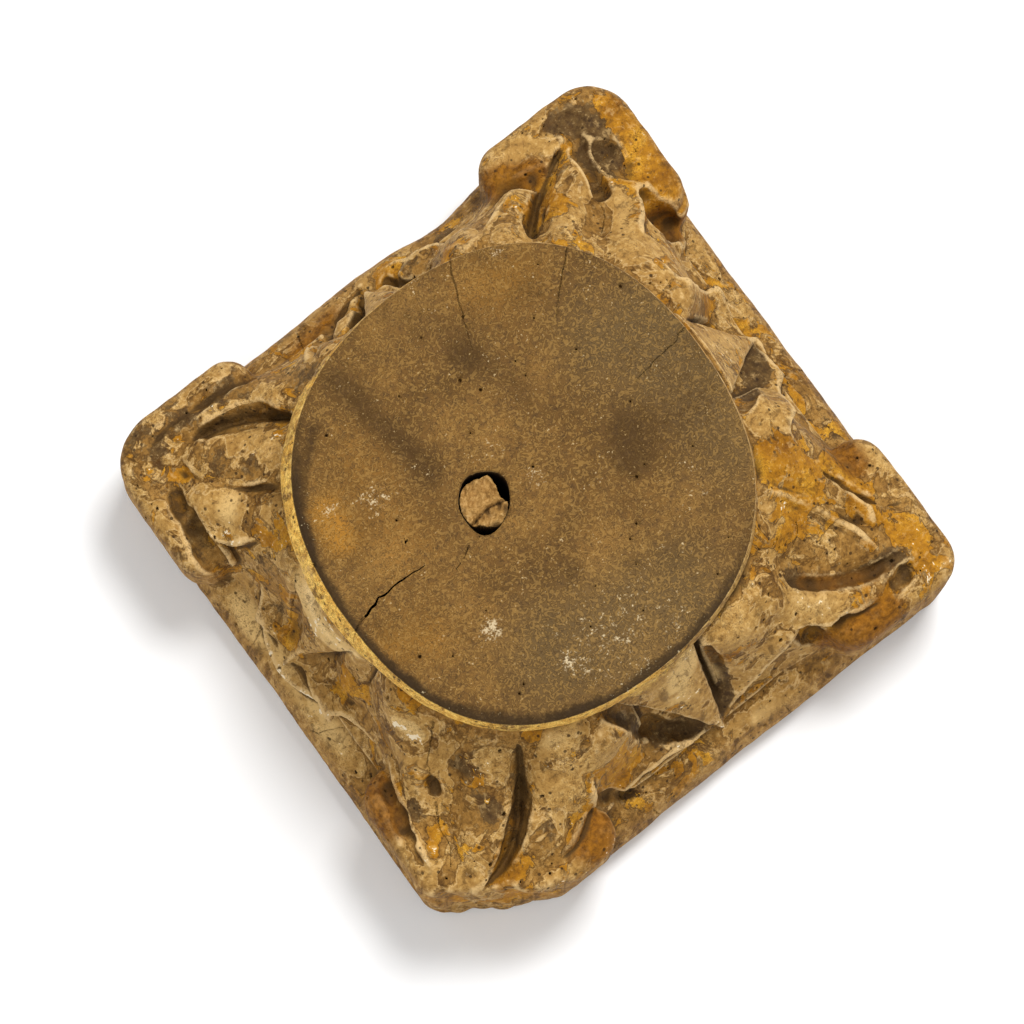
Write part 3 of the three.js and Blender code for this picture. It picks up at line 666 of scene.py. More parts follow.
def vee(p, n, wide, deep):
    """Signed distance to a V groove along a line on the surface, on the part of the grid around it."""
    reach = (wide + deep + 4)[:, None]
    cut, x, y, z = window((p - reach).min(0), (p + reach).max(0))
    nearest = np.full((x.size, y.size, z.size), FAR**2, np.float32)
    out = np.full_like(nearest, FAR)
    for k in range(len(p) - 1):
        h, offset, square = to_line(x, y, z, p[k], p[k + 1])
        rise = sum(r * c for r, c in zip(offset, n[k]))
        w = wide[k] + (wide[k + 1] - wide[k]) * h
        d = deep[k] + (deep[k + 1] - deep[k]) * h
        ratio = d / w
        side = np.sqrt(np.maximum(square - rise * rise, 0))
        v = (side * ratio - np.minimum(rise, 2) - d) / np.sqrt(1 + ratio * ratio)
        closer = square < nearest
        nearest = np.where(closer, square, nearest)
        out = np.where(closer, v, out)
    return cut, out


def wobble(count, rng):
    """Slow uneven variation along a line, about -1 to 1."""
    knots = max(4, count // 2)
    return np.interp(np.linspace(0, knots - 1, count), np.arange(knots), rng.uniform(-1, 1, knots))


def stroke(field, base, ragged, rng, kind, half, amount, points):
    """One groove, scoop or rib of the carver: follows the base surface and runs out at its ends."""
    p, n = on_surface(base, points)
    p = p + across_line(p, n) * (0.08 * half * wobble(len(p), rng))[:, None]
    t = np.linspace(0, 1, len(p))
    half = half * (1 + 0.1 * wobble(len(p), rng))
    amount = amount * (1 + 0.12 * wobble(len(p), rng))
    if kind in ("vee", "taper"):
        run_out = np.sin(np.pi * np.clip(t, 0.01, 0.99)) ** 0.28
        if kind == "taper":
            run_out = np.minimum(1, 0.5 + 5 * t) * np.clip(1.02 - t, 0.02, 1) ** 0.45
        cut, g = vee(p, n, half * run_out, amount * run_out)
        field[cut] = smooth_max(field[cut], -g - ragged[cut], 2.0)
        return
    thin = np.minimum(1, 0.3 + 4 * t) * np.minimum(1, 0.3 + 4 * (1 - t))
    w = half * (0.5 + 0.5 * thin)
    d = amount * thin
    r = np.where(d < w, (w * w + d * d) / (2 * d), w)
    if kind == "rib":
        cut, g = tube(p - n * (r - d)[:, None], r)
        field[cut] = smooth_min(field[cut], np.maximum(g, base[cut] - amount.max()), 2.0)
        return
    scoops = [(p + n * (r - d)[:, None], r)]
    if (d > w).any():
        scoops.append((p, w))
    for centres, radii in scoops:
        cut, g = tube(centres, radii)
        field[cut] = smooth_max(field[cut], -g - 0.7 * ragged[cut], 2.4)


def lift_margin(field, base, rng, amount, reach, points):
    """One leaf margin: lifts the surface on the left of a line and drops sharply at the line."""
    p, n = on_surface(base, points)
    left = across_line(p, n)
    p = p + left * (0.7 * wobble(len(p), rng))[:, None]
    t = np.linspace(0, 1, len(p))
    height = amount * np.clip(np.minimum(5 * t, 5 * (1 - t)), 0, 1) * (1 + 0.15 * wobble(len(p), rng))
    cut, x, y, z = window(p.min(0) - reach - 3, p.max(0) + reach + 3)
    nearest = np.full((x.size, y.size, z.size), 1e6, np.float32)
    side = np.zeros_like(nearest)
    lift = np.zeros_like(nearest)
    for k in range(len(p) - 1):
        h, offset, square = to_line(x, y, z, p[k], p[k + 1])
        closer = square < nearest
        nearest = np.where(closer, square, nearest)
        side = np.where(closer, sum(r * c for r, c in zip(offset, left[k])), side)
        lift = np.where(closer, height[k] + (height[k + 1] - height[k]) * h, lift)
    inward = np.clip((side + 0.9) / 1.8, 0, 1)
    away = np.clip((reach - np.sqrt(nearest)) / (0.75 * reach), 0, 1)
    field[cut] -= lift * inward * inward * (3 - 2 * inward) * away * away * (3 - 2 * away)


def side_leaf_line(leaf, t):
    """Sideways place, distance out, half width and height of a side leaf from neck to tip."""
    sideways = leaf["start"] + (leaf["tip"] - leaf["start"]) * t
    out = SIDE_LEAF_OUT[0] - leaf["sink"] * (1 - t) + (SIDE_LEAF_OUT[1] - SIDE_LEAF_OUT[0]) * t**1.15
    z = SIDE_LEAF_Z[0] + (SIDE_LEAF_Z[1] - SIDE_LEAF_Z[0]) * t
    return sideways, out, 2 + SIDE_LEAF_HALF * (1 - t), z


def side_frame(leaf):
    """Outward and sideways directions of a side leaf in plan."""
    a = math.radians(leaf["turn"])
    return np.array([math.cos(a), math.sin(a)]), np.array([-math.sin(a), math.cos(a)])


def cut_pockets(field, leaf):
    """Deep pockets along the two edges of a side leaf."""
    outward, across = side_frame(leaf)
    for hand, (radius, first, last) in zip((-1, 1), leaf["pockets"]):
        sideways, out, half, z = side_leaf_line(leaf, np.linspace(first, last, POCKET_STEPS))
        s = sideways + hand * (half + 0.7 * radius)
        centres = np.column_stack([outward * (out - 1)[:, None] + across * s[:, None], z])
        radii = radius * np.sqrt(np.sin(np.pi * np.linspace(0.06, 0.94, POCKET_STEPS)))
        cut, g = tube(centres, radii)
        field[cut] = smooth_max(field[cut], -g, 2.5)


def add_side_leaf(field, leaf):
    """One pointed leaf from the neck down to the shelf."""
    outward, across = side_frame(leaf)
    below, above, beside = SIDE_LEAF_WINDOW
    low = SIDE_LEAF_AT * outward - below * np.abs(outward) - beside * np.abs(across)
    high = SIDE_LEAF_AT * outward + above * np.abs(outward) + beside * np.abs(across)
    cut, x, y, z = window([*low, SIDE_LEAF_Z[1] - 6], [*high, SIDE_LEAF_Z[0] + 6])
    o = x * outward[0] + y * outward[1]
    s = x * across[0] + y * across[1]
    t = np.clip((SIDE_LEAF_Z[0] - z) / (SIDE_LEAF_Z[0] - SIDE_LEAF_Z[1]), 0, 1)
    sideways, out, half, _ = side_leaf_line(leaf, t)
    q = (s - sideways) / half
    face = (o - out - SIDE_LEAF_CROWN * (1 - np.minimum(q * q, 1))) * 0.93
    edge = np.abs(s - sideways) - half
    ends = np.maximum(z - SIDE_LEAF_Z[0] - 3, SIDE_LEAF_Z[1] - z)
    shape = smooth_max(smooth_max(face, edge, leaf["soft"] + 0.5), ends, 2)
    shape = np.maximum(shape, SIDE_LEAF_ROOT - o)
    field[cut] = smooth_min(field[cut], shape, leaf["soft"])


def cut_break(field):
    """The worn fracture of the broken corner."""
    run = (BREAK_TO - BREAK_FROM) / np.linalg.norm(BREAK_TO - BREAK_FROM)
    outward = np.array([run[1], -run[0]])
    cut, x, y, z = window((-OUTER, -OUTER, LOW[2]), (BREAK_WINDOW, BREAK_WINDOW, HIGH[2]))
    s = (x - BREAK_FROM[0]) * run[0] + (y - BREAK_FROM[1]) * run[1]
    d = (x - BREAK_FROM[0]) * outward[0] + (y - BREAK_FROM[1]) * outward[1]
    rough = 0.9 * (np.sin(0.21 * s + 0.05 * z) + np.sin(0.09 * s - 0.13 * z))
    rough = rough + 0.5 * np.sin(0.55 * s + 0.31 * z)
    lean = BREAK_LEAN * (z - BREAK_LEVEL)
    field[cut] = smooth_max(field[cut], d - rough + lean, 4.0)


def oval(angle):
    """Distance from the hole's centre to its uneven wall, by angle."""
    local = angle - HOLE_TURN
    even = 1 / np.hypot(np.cos(local) / HOLE_HALF[1], np.sin(local) / HOLE_HALF[0])
    return even * (1 + HOLE_UNEVENNESS * (np.cos(3 * angle) + 0.5 * np.sin(5 * angle)))


def cut_hole(field):
    """The blind hole for the peg."""
    low = (*(HOLE_CENTRE - HOLE_WINDOW), HEIGHT - HOLE_DEPTH - 5)
    cut, x, y, z = window(low, (*(HOLE_CENTRE + HOLE_WINDOW), HIGH[2]))
    dx = x - HOLE_CENTRE[0]
    dy = y - HOLE_CENTRE[1]
    wall = np.hypot(dx, dy) - oval(np.arctan2(dy, dx))
    field[cut] = smooth_max(field[cut], -np.maximum(wall, HEIGHT - HOLE_DEPTH - z), 0.8)


def block_field():
    """The whole carved block with its wear, break and hole."""
    base = base_field()
    field = base.copy()
    for leaf in SIDE_LEAVES:
        cut_pockets(field, leaf)
        add_side_leaf(field, leaf)
    rng = np.random.default_rng(STROKE_SEED)
    ragged = lattice_noise(*RAGGEDNESS)
    for _, amount, reach, points in MARGINS:
        lift_margin(field, base, rng, amount, reach, points)
    for kind, rows in STROKES.items():
        for _, half, amount, points in rows:
            stroke(field, base, ragged, rng, kind, half, amount, points)
    outermost = np.maximum(np.abs(GX)[:, None, None], np.abs(GY)[None, :, None])
    field = np.maximum(field, outermost - CURL_HALF)
    quiet = np.clip((GZ - 2) / 4, 0, 1) * np.where(GZ > HEIGHT - 6, 0.25, 1)
    rough = sum(lattice_noise(*layer) for layer in ROUGHNESS)
    field += (np.abs(rough) * quiet[None, None, :]).astype(np.float32)
    cut_break(field)
    cut_hole(field)
    return np.maximum(field, -GZ[None, None, :]).astype(np.float32)


def add_object(name, data):
    """New object in the scene."""
    obj = bpy.data.objects.new(name, data)
    bpy.context.scene.collection.objects.link(obj)
    return obj


def put_mesh(name, points, faces):
    """New object from an array of points and an array of equal faces, in millimetres for now."""
    mesh = bpy.data.meshes.new(name)
    corners = faces.shape[1]
    mesh.vertices.add(len(points))
    mesh.vertices.foreach_set("co", np.ascontiguousarray(points, np.float32).ravel())
    mesh.loops.add(faces.size)
    mesh.loops.foreach_set("vertex_index", np.ascontiguousarray(faces, np.int32).ravel())
    mesh.polygons.add(len(faces))
    mesh.polygons.foreach_set("loop_start", np.arange(0, faces.size, corners, dtype=np.int32))
    mesh.update(calc_edges=True)
    return add_object(name, mesh)


def settle(obj):
    """Make the modifiers of an object part of its mesh."""
    done = bpy.data.meshes.new_from_object(obj.evaluated_get(bpy.context.evaluated_depsgraph_get()))
    obj.modifiers.clear()
    obj.data = done
    done.name = obj.name


def points_of(obj):
    """Vertices of an object as an array."""
    out = np.empty(len(obj.data.vertices) * 3, np.float32)
    obj.data.vertices.foreach_get("co", out)
    return out.reshape(-1, 3).astype(float)


def thin_out(obj, weights, ratio, evenness):
    """Thin a mesh by a ratio, only where the weights are above zero."""
    group = obj.vertex_groups.new(name="thin")
    for value in np.unique(weights):
        group.add(np.nonzero(weights == value)[0].tolist(), float(value), "REPLACE")
    thin = obj.modifiers.new("thin", "DECIMATE")
    thin.vertex_group = "thin"
    thin.vertex_group_factor = evenness
    thin.use_collapse_triangulate = True
    thin.ratio = ratio
    settle(obj)
    obj.vertex_groups.clear()


def mesh_from_field(field, low, voxel, name, triangles, plain_below):
    """Closed mesh of the zero level of a field, thinned hard where plain and then by shape."""
    grid = openvdb.FloatGrid(8.0)
    grid.copyFromArray(np.clip(field, -8, 8))
    points, _, quads = grid.convertToPolygons(isovalue=0.0, adaptivity=0.0)
    obj = put_mesh(name, points * voxel + np.array(low), quads[:, ::-1])
    spare = np.where(points_of(obj)[:, 2] < plain_below, 1.0, 0.0)
    thin_out(obj, spare, 1 - LOOSE_SHARE * spare.mean(), 1.0)
    ratio = triangles / max(triangles, len(obj.data.polygons))
    thin_out(obj, np.full(len(obj.data.vertices), 0.5), ratio, EVENNESS)
    return obj


def joined(tools):
    """One mesh of several that don't touch."""
    points = [points_of(tool) for tool in tools]
    start = np.cumsum([0] + [len(p) for p in points])
    faces = []
    for tool, first in zip(tools, start):
        corner = np.empty(len(tool.data.loops), np.int32)
        tool.data.loops.foreach_get("vertex_index", corner)
        faces.append(corner.reshape(-1, 3) + first)
        bpy.data.objects.remove(tool)
    return put_mesh("tools", np.vstack(points), np.vstack(faces))


def cut_with(obj, tool):
    """Take one closed mesh away from another."""
    less = obj.modifiers.new("less", "BOOLEAN")
    less.object = tool
    less.solver = "MANIFOLD"
    settle(obj)
    obj.data.materials.clear()
    bpy.data.objects.remove(tool)


def crack_tool(field, width, depth, points, seed):
    """Wedge along a wandering line on the surface, open at the mouth and shut below."""
    rng = np.random.default_rng(seed)
    p = curve_through(points, CRACK_STEP)
    n = np.tile((0.0, 0.0, 1.0), (len(p), 1))
    if p[:, 2].min() < HEIGHT - 1:
        p, n = on_surface(field, points, CRACK_STEP, 3, 3)
    across = across_line(p, n)
    count = len(p)
    p = p + across * rng.normal(0, 0.35, (count, 1))
    t = np.linspace(0, 1, count)[:, None]
    half = 0.5 * width * (1 - 0.75 * t) * rng.uniform(0.7, 1.2, (count, 1))
    wide = across * half * (1 + CRACK_MOUTH / depth)
    mouth = p + n * CRACK_MOUTH
    rows = np.stack([mouth + wide, mouth - wide, p - n * depth * (1 - 0.6 * t)], 1)
    index = np.arange(count * 3).reshape(count, 3)
    faces = [index[0, ::-1], index[-1]]
    for k in range(count - 1):
        for a, b in ((0, 1), (1, 2), (2, 0)):
            faces.append([index[k, a], index[k, b], index[k + 1, b]])
            faces.append([index[k, a], index[k + 1, b], index[k + 1, a]])
    return put_mesh("crack", rows.reshape(-1, 3), np.array(faces)[:, ::-1])


def worm_spots(obj, cracks, rng):
    """Random places on the carving, thicker in some parts than in others and clear of the cracks."""
    points = points_of(obj)
    obj.data.calc_loop_triangles()
    tri = np.empty(len(obj.data.loop_triangles) * 3, np.int32)
    obj.data.loop_triangles.foreach_get("vertices", tri)
    corners = points[tri.reshape(-1, 3)]
    area = np.linalg.norm(np.cross(corners[:, 1] - corners[:, 0], corners[:, 2] - corners[:, 0]), axis=1)
    lowest = corners[:, :, 2].min(1)
    area *= lowest > WORM_FLOOR
    area *= np.where(lowest > HEIGHT - 2, WORM_FACE_SHARE, 1)
    pick = rng.choice(len(corners), WORMS * WORM_TRIES, p=area / area.sum())
    w = rng.dirichlet((1, 1, 1), len(pick))
    spots = np.einsum("ij,ijk->ik", w, corners[pick])
    thick = np.sin(spots @ (0.11, 0.07, 0.05)) + np.sin(spots @ (-0.06, 0.13, 0.09) + 2)
    spots = spots[rng.uniform(-1.6, 1.6, len(spots)) < thick]
    for crack in cracks:
        one, other, bottom = points_of(crack).reshape(-1, 3, 3).transpose(1, 0, 2)
        for share in np.linspace(0, 1, 5):
            for q in (one + other) / 2 * (1 - share) + bottom * share:
                spots = spots[((spots - q) ** 2).sum(1) > WORM_CLEAR**2]
    return spots


def worm_tool(obj, field, cracks):
    """Small round borings spread over the carving."""
    rng = np.random.default_rng(WORM_SEED)
    spots = worm_spots(obj, cracks, rng)
    n = slope(field, spots)
    ends = spots - WORM_LENGTH * n
    chosen = []
    for k in range(len(spots)):
        if len(chosen) == WORMS:
            break
        others = np.array(chosen, int)
        pairs = [(a[others], b) for a in (spots, ends) for b in (spots[k], ends[k])]
        if min(np.linalg.norm(a - b, axis=1).min(initial=9) for a, b in pairs) > WORM_GAP:
            chosen.append(k)
    turn = np.arange(WORM_SIDES) * 2 * np.pi / WORM_SIDES
    points = []
    faces = []
    for m, k in enumerate(chosen):
        u = np.cross(n[k], (0.3, 0.5, 0.8))
        u /= np.linalg.norm(u)
        v = np.cross(n[k], u)
        r = 0.5 + 0.8 * rng.uniform(0, 1) ** 2
        ring = r * (np.cos(turn)[:, None] * u + np.sin(turn)[:, None] * v * rng.uniform(0.8, 1.3))
        top = spots[k] + 1.2 * n[k]
        points.append(np.vstack([ring + top, 0.7 * ring + ends[k], top, ends[k]]))
        first = m * (2 * WORM_SIDES + 2)
        lower = first + WORM_SIDES
        last = lower + WORM_SIDES
        for i in range(WORM_SIDES):
            j = (i + 1) % WORM_SIDES
            faces += [
                (first + i, lower + i, lower + j), (first + i, lower + j, first + j),
                (first + i, first + j, last), (lower + j, lower + i, last + 1),
            ]
    return put_mesh("worms", np.vstack(points), np.array(faces))


def to_frame(obj):
    """Skew the finished mesh and turn millimetres into metres."""
    p = points_of(obj)
    moved = p.copy()
    moved[:, 0] += SKEW * p[:, 1]
    moved[:, 1] += SKEW * p[:, 0]
    moved[:, 2] = np.clip(p[:, 2], 0, HEIGHT)
    obj.data.vertices.foreach_set("co", (moved * MM).astype(np.float32).ravel())
    obj.data.polygons.foreach_set("use_smooth", np.ones(len(obj.data.polygons), bool))
    obj.data.update()


def give(obj, name, values):
    """Store one number per vertex for the material."""
    layer = obj.data.attributes.new(name, "FLOAT", "POINT")
    layer.data.foreach_set("value", np.ascontiguousarray(values, np.float32))


def near_places(p, rows):
    """Summed softness around places."""
    out = np.zeros(len(p))
    for amount, radius, places in rows:
        line = curve_through(places, 4.0) if len(places) > 1 else np.array(places, float)
        d = np.full(len(p), 1e6)
        for q in line:
            d = np.minimum(d, ((p[:, :len(q)] - q) ** 2).sum(1))
        out += amount * np.exp(-d / (1.3 * radius) ** 2)
    return out


def store_marks(block, field):
    """Where the block is hollow, edged, painted, stained or bored, one number per vertex each."""
    spots = points_of(block)
    normal = slope(field, spots)
    hollow = np.zeros(len(spots))
    for reach in HOLLOW_REACHES:
        hollow += np.clip(1 - sample(field, spots + reach * normal) / reach, 0, 1) / len(HOLLOW_REACHES)
    hollow = np.maximum(hollow, np.clip(-sample(field, spots) / 1.2 - 0.2, 0, 1))
    bend = bending(field, spots, normal, 3.0)
    give(block, "hollow", hollow)
    outermost = np.clip((np.abs(spots[:, :2]).max(1) - OUTER_FACES) / 5, 0, 1)
    give(block, "upright", outermost * np.clip((0.75 - np.abs(normal[:, 2])) / 0.4, 0, 1))
    give(block, "ridge", np.clip((bend - 0.04) / 0.3, 0, 1))
    give(block, "dip", np.clip((-bend - 0.03) / 0.3, 0, 1))
    for kind, rows in (PATCHES | STAINS).items():
        give(block, kind, near_places(spots, rows))
    x = spots[:, 0] - NECK_CENTRE[0]
    y = spots[:, 1] - NECK_CENTRE[1]
    reach = np.hypot(x, y)
    band = np.clip((spots[:, 2] - BAND_Z) / 4, 0, 1)
    band *= np.clip((reach - BAND_REACH[0]) / 3, 0, 1) * np.clip((BAND_REACH[1] - reach) / 3, 0, 1)
    give(block, "band", band * np.clip(0.35 + 0.65 * np.cos(np.arctan2(y, x) - BAND_TOWARDS), 0, 1))
    bore = np.hypot(spots[:, 0] - HOLE_CENTRE[0], spots[:, 1] - HOLE_CENTRE[1]) < BORE_REACH
    give(block, "bore", bore * np.clip((HEIGHT - 0.8 - spots[:, 2]) / 0.8, 0, 1))


def tint(r, g, b):
    """Colour from its usual 0 to 255 values."""
    return tuple(((c / 255 + 0.055) / 1.055) ** 2.4 for c in (r, g, b)) + (1,)


class Paint:
    """Node tree of one material, with short names for the nodes used here."""

    def __init__(self, name):
        self.material = bpy.data.materials.new(name)
        self.material.use_nodes = True
        self.tree = self.material.node_tree
        self.shader = self.tree.nodes["Principled BSDF"]
        self.place = self.node("ShaderNodeTexCoord", {}, "Object")
        self.colour = None

    def node(self, kind, inputs, out=0, **settings):
        """Output of a new node with its inputs linked or set."""
        made = self.tree.nodes.new(kind)
        for key, value in settings.items():
            setattr(made, key, value)
        for key, value in inputs.items():
            if isinstance(value, bpy.types.NodeSocket):
                self.tree.links.new(value, made.inputs[key])
            else:
                made.inputs[key].default_value = value
        return made.outputs[out]

    def moved(self, x, y, z, stretch=(1, 1, 1)):
        """Place on the object, shifted and stretched."""
        return self.node(
            "ShaderNodeMapping", {"Vector": self.place, "Location": (x, y, z), "Scale": stretch})

    def noise(self, scale, detail=5, rough=0.6, shift=0.0, bend=0.0, stretch=(1, 1, 1)):
        place = self.moved(shift, 2 * shift, -shift, stretch)
        return self.node(
            "ShaderNodeTexNoise",
            {"Vector": place, "Scale": scale, "Detail": detail, "Roughness": rough, "Distortion": bend},
        )

    def attribute(self, name):
        return self.node("ShaderNodeAttribute", {}, "Fac", attribute_name=name)

    def axis(self, number):
        return self.node("ShaderNodeSeparateXYZ", {0: self.place}, number)

    def math(self, operation, a, b=0.0):
        return self.node("ShaderNodeMath", {0: a, 1: b}, operation=operation)

    def times(self, a, b):
        return self.math("MULTIPLY", a, b)

    def total(self, *terms):
        """Weighted sum of (weight, value) pairs."""
        out = 0.0
        for weight, value in terms:
            out = self.node("ShaderNodeMath", {0: value, 1: weight, 2: out}, operation="MULTIPLY_ADD")
        return out

    def step(self, value, low, high, bottom=0.0, top=1.0):
        """Smooth change from bottom to top as a value goes from low to high."""
        return self.node(
            "ShaderNodeMapRange",
            {"Value": value, "From Min": low, "From Max": high, "To Min": bottom, "To Max": top},
            interpolation_type="SMOOTHSTEP",
        )

    def near(self, value, middle, reach):
        """One where a value is at a middle, down to zero a reach away."""
        return self.step(self.math("ABSOLUTE", self.math("SUBTRACT", value, middle)), reach, 0.2 * reach)

    def shades(self, value, *stops):
        """Colour ramp through stops of place, red, green and blue."""
        made = self.tree.nodes.new("ShaderNodeValToRGB")
        self.tree.links.new(value, made.inputs["Fac"])
        ramp = made.color_ramp
        while len(ramp.elements) < len(stops):
            ramp.elements.new(0.5)
        for element, (place, *colour) in zip(ramp.elements, stops):
            element.position = place
            element.color = tint(*colour)
        return made.outputs["Color"]

    def over(self, share, colour):
        """Lay a colour, given as three values or a socket, over what is there."""
        if isinstance(colour, tuple):
            colour = tint(*colour)
        self.colour = self.node("ShaderNodeMix", {0: share, 6: self.colour, 7: colour}, 2, data_type="RGBA")

    def dots(self, scale, size, rarity, shift):
        """Scattered small round marks."""
        cell = self.tree.nodes.new("ShaderNodeTexVoronoi")
        self.tree.links.new(self.moved(shift, -shift, shift), cell.inputs["Vector"])
        cell.inputs["Scale"].default_value = scale
        pick = self.node("ShaderNodeSeparateColor", {0: cell.outputs["Color"]})
        mark = self.step(cell.outputs["Distance"], size, 0.6 * size)
        return self.times(mark, self.step(pick, rarity, rarity + 0.02))

    def finish(self, rough, height, depth):
        """Link the layers to the shader."""
        self.tree.links.new(self.colour, self.shader.inputs["Base Color"])
        self.tree.links.new(rough, self.shader.inputs["Roughness"])
        inputs = {"Height": height, "Strength": BUMP_STRENGTH, "Distance": depth}
        self.tree.links.new(self.node("ShaderNodeBump", inputs), self.shader.inputs["Normal"])
        self.shader.inputs["Specular IOR Level"].default_value = SHINE
        return self.material


class BlockPaint(Paint):
    """Paint of the block, with the marks stored on it and the noises that break them up."""

    def __init__(self):
        super().__init__("painted_wood")
        for name in (*PATCHES, *STAINS, "hollow", "upright", "ridge", "dip", "band", "bore"):
            setattr(self, name, self.attribute(name))
        self.middle = self.noise(48, 4)
        self.flakes = self.noise(44, 5, 0.6, 3.1, 0.6)
        self.scales = self.noise(56, 5, 0.62, 7.7, 0.6)
        self.fine = self.noise(320, 3, 0.6, 1.7)
        self.grit = self.noise(1000, 1, 0.5, 5.0)
        self.swirl = self.noise(300, 2, 0.5, 6.0, 2.5)
        self.hair = self.near(self.swirl, 0.5, 0.05)
        self.grain = self.noise(230, 4, 0.65, 8.0, 0.4, (1, 1, 0.07))
        self.speck = self.total((0.5, self.fine), (0.5, self.grit))
        # The cream ground is likelier on ridges and rarer in dips and hollows, the ochre coat a little
        # likelier in hollows: partly wear, partly painted highlight and shade that bring out the carved
        # form.
        self.ground = self.total(
            (1, self.flakes), (0.22, self.cream), (0.2, self.ridge), (-0.25, self.dip), (-0.2, self.grey),
            (-0.3, self.hollow), (-0.1, self.ochre))
        self.coat = self.total(
            (1, self.scales), (0.32, self.ochre), (0.17, self.band), (0.1, self.hollow),
            (-0.14, self.cream), (-0.14, self.grey))


def lay_cream(m):
    """Wood with soiling and painted shade, and the flaking cream ground over it, with painted shadow and
    highlight at its flake edges.
    """
    wood = m.total((0.6, m.middle), (0.4, m.fine))
    m.colour = m.shades(wood, (0.34, 92, 62, 22), (0.5, 146, 106, 48), (0.66, 188, 146, 80))
    # Darker with soiling, and with painted shade where the grey patches lie in grooves and pockets.
    dirt_and_pocket_shade = m.total((0.7, m.middle), (0.3, m.fine), (0.26, m.grey), (-0.1, m.band))
    m.over(m.step(dirt_and_pocket_shade, 0.575, 0.64), m.shades(m.fine, (0.35, 66, 46, 22), (0.65, 108, 82, 45)))
    # Painted shadow: a dark line just outside the edges of the cream flakes.
    m.over(m.times(m.near(m.ground, 0.445, 0.03), 0.55), (78, 50, 18))
    pale = m.total((0.4, m.fine), (0.3, m.scales), (0.3, m.middle))
    pale = m.shades(pale, (0.33, 128, 90, 38), (0.5, 170, 130, 68), (0.67, 212, 174, 108))
    m.over(m.step(m.ground, 0.44, 0.48), pale)
    thick = m.step(m.total((1, m.flakes), (0.07, m.cream)), 0.43, 0.55)
    m.over(m.times(m.step(m.cream, 0.45, 1.2, 0, 0.75), thick), (218, 182, 118))
    m.over(m.step(m.cream, 2.0, 3.4, 0, 0.75), (248, 214, 152))
    # Painted highlight: a pale line just inside the edges of the cream flakes.
    m.over(m.times(m.near(m.ground, 0.487, 0.014), 0.35), (222, 190, 136))


def lay_ochre(m):
    """The ochre coat over the cream, with painted shadow along its flake edges, and bare timber on the outer
    faces.
    """
    # Painted shadow: a dark line along the edges of the ochre flakes.
    m.over(m.times(m.near(m.coat, 0.568, 0.022), 0.7), (84, 54, 16))
    base = m.colour
    tone = m.total((0.3, m.fine), (0.7, m.middle))
    m.colour = m.shades(tone, (0.34, 118, 73, 9), (0.5, 168, 114, 24), (0.66, 208, 153, 46))
    m.over(m.times(m.band, 0.7), (246, 190, 88))
    yellow = m.colour
    m.colour = base
    m.over(m.step(m.coat, 0.58, 0.6), yellow)
    bare = m.step(m.total((0.6, m.flakes), (0.4, m.middle)), 0.62, 0.42, 0.25, 0.8)
    timber = m.total((0.75, m.grain), (0.25, m.fine))
    timber = m.shades(timber, (0.36, 88, 58, 22), (0.5, 142, 102, 48), (0.64, 184, 142, 78))
    m.over(m.times(m.upright, bare), timber)


def lay_wear(m):
    """Rubbed edges with painted highlight, grain, specks, hair cracks, soiling with painted shade in the
    hollows and on the ear walls, pits painted as dark dots, and chips.
    """
    # Rubbed edges with painted highlight: pale on the ridges.
    m.over(m.step(m.total((1, m.ridge), (0.9, m.fine), (0.5, m.flakes)), 0.85, 1.5, 0, 0.7), (216, 182, 126))
    m.over(m.step(m.grain, 0.47, 0.33, 0, 0.55), (76, 50, 18))
    m.over(m.step(m.grain, 0.56, 0.7, 0, 0.35), (216, 178, 116))
    m.over(m.step(m.speck, 0.43, 0.34, 0, 0.4), (72, 48, 18))
    m.over(m.step(m.speck, 0.59, 0.69, 0, 0.28), (222, 190, 134))
    m.over(m.times(m.hair, m.step(m.total((1, m.middle), (0.1, m.band)), 0.44, 0.6, 0, 0.55)), (76, 48, 16))
    # Dark ochre brown where the deep patches lie: mostly painted shade on the ear walls and under the ears.
    dark_ochre_and_shade = m.step(m.total((1, m.deep), (0.8, m.middle), (0.4, m.scales)), 0.75, 1.3, 0, 0.85)
    m.over(dark_ochre_and_shade, m.shades(m.fine, (0.35, 92, 54, 6), (0.65, 142, 90, 20)))
    ring = m.step(m.total((0.5, m.flakes), (0.3, m.fine), (0.2, m.grain)), 0.44, 0.54, 0.2, 0.9)
    m.over(m.times(m.band, ring), m.shades(m.fine, (0.35, 204, 150, 58), (0.65, 255, 212, 110)))
    m.over(m.times(m.times(m.hair, m.band), 0.6), (90, 58, 20))
    # Dark in hollows and dips, also inside the cracks and borings: soiling together with painted shade.
    grime_and_hollow_shade = m.total((1.0, m.hollow), (0.7, m.dip), (0.5, m.middle), (0.4, m.fine))
    m.over(m.step(grime_and_hollow_shade, 0.76, 1.3, 0, 0.86), (66, 46, 20))
    # Painted shade of tiny pits: dark dots, with no hole cut in the surface.
    m.over(m.times(m.dots(190, 0.2, 0.5, 4.0), 0.8), (44, 28, 10))
    chips = m.total(
        (0.55, m.fine), (0.45, m.scales), (0.05, m.math("MINIMUM", m.cream, 1.0)), (0.16, m.white),
        (0.05, m.ridge), (-0.2, m.hollow))
    m.over(m.step(chips, 0.655, 0.68), (230, 212, 178))


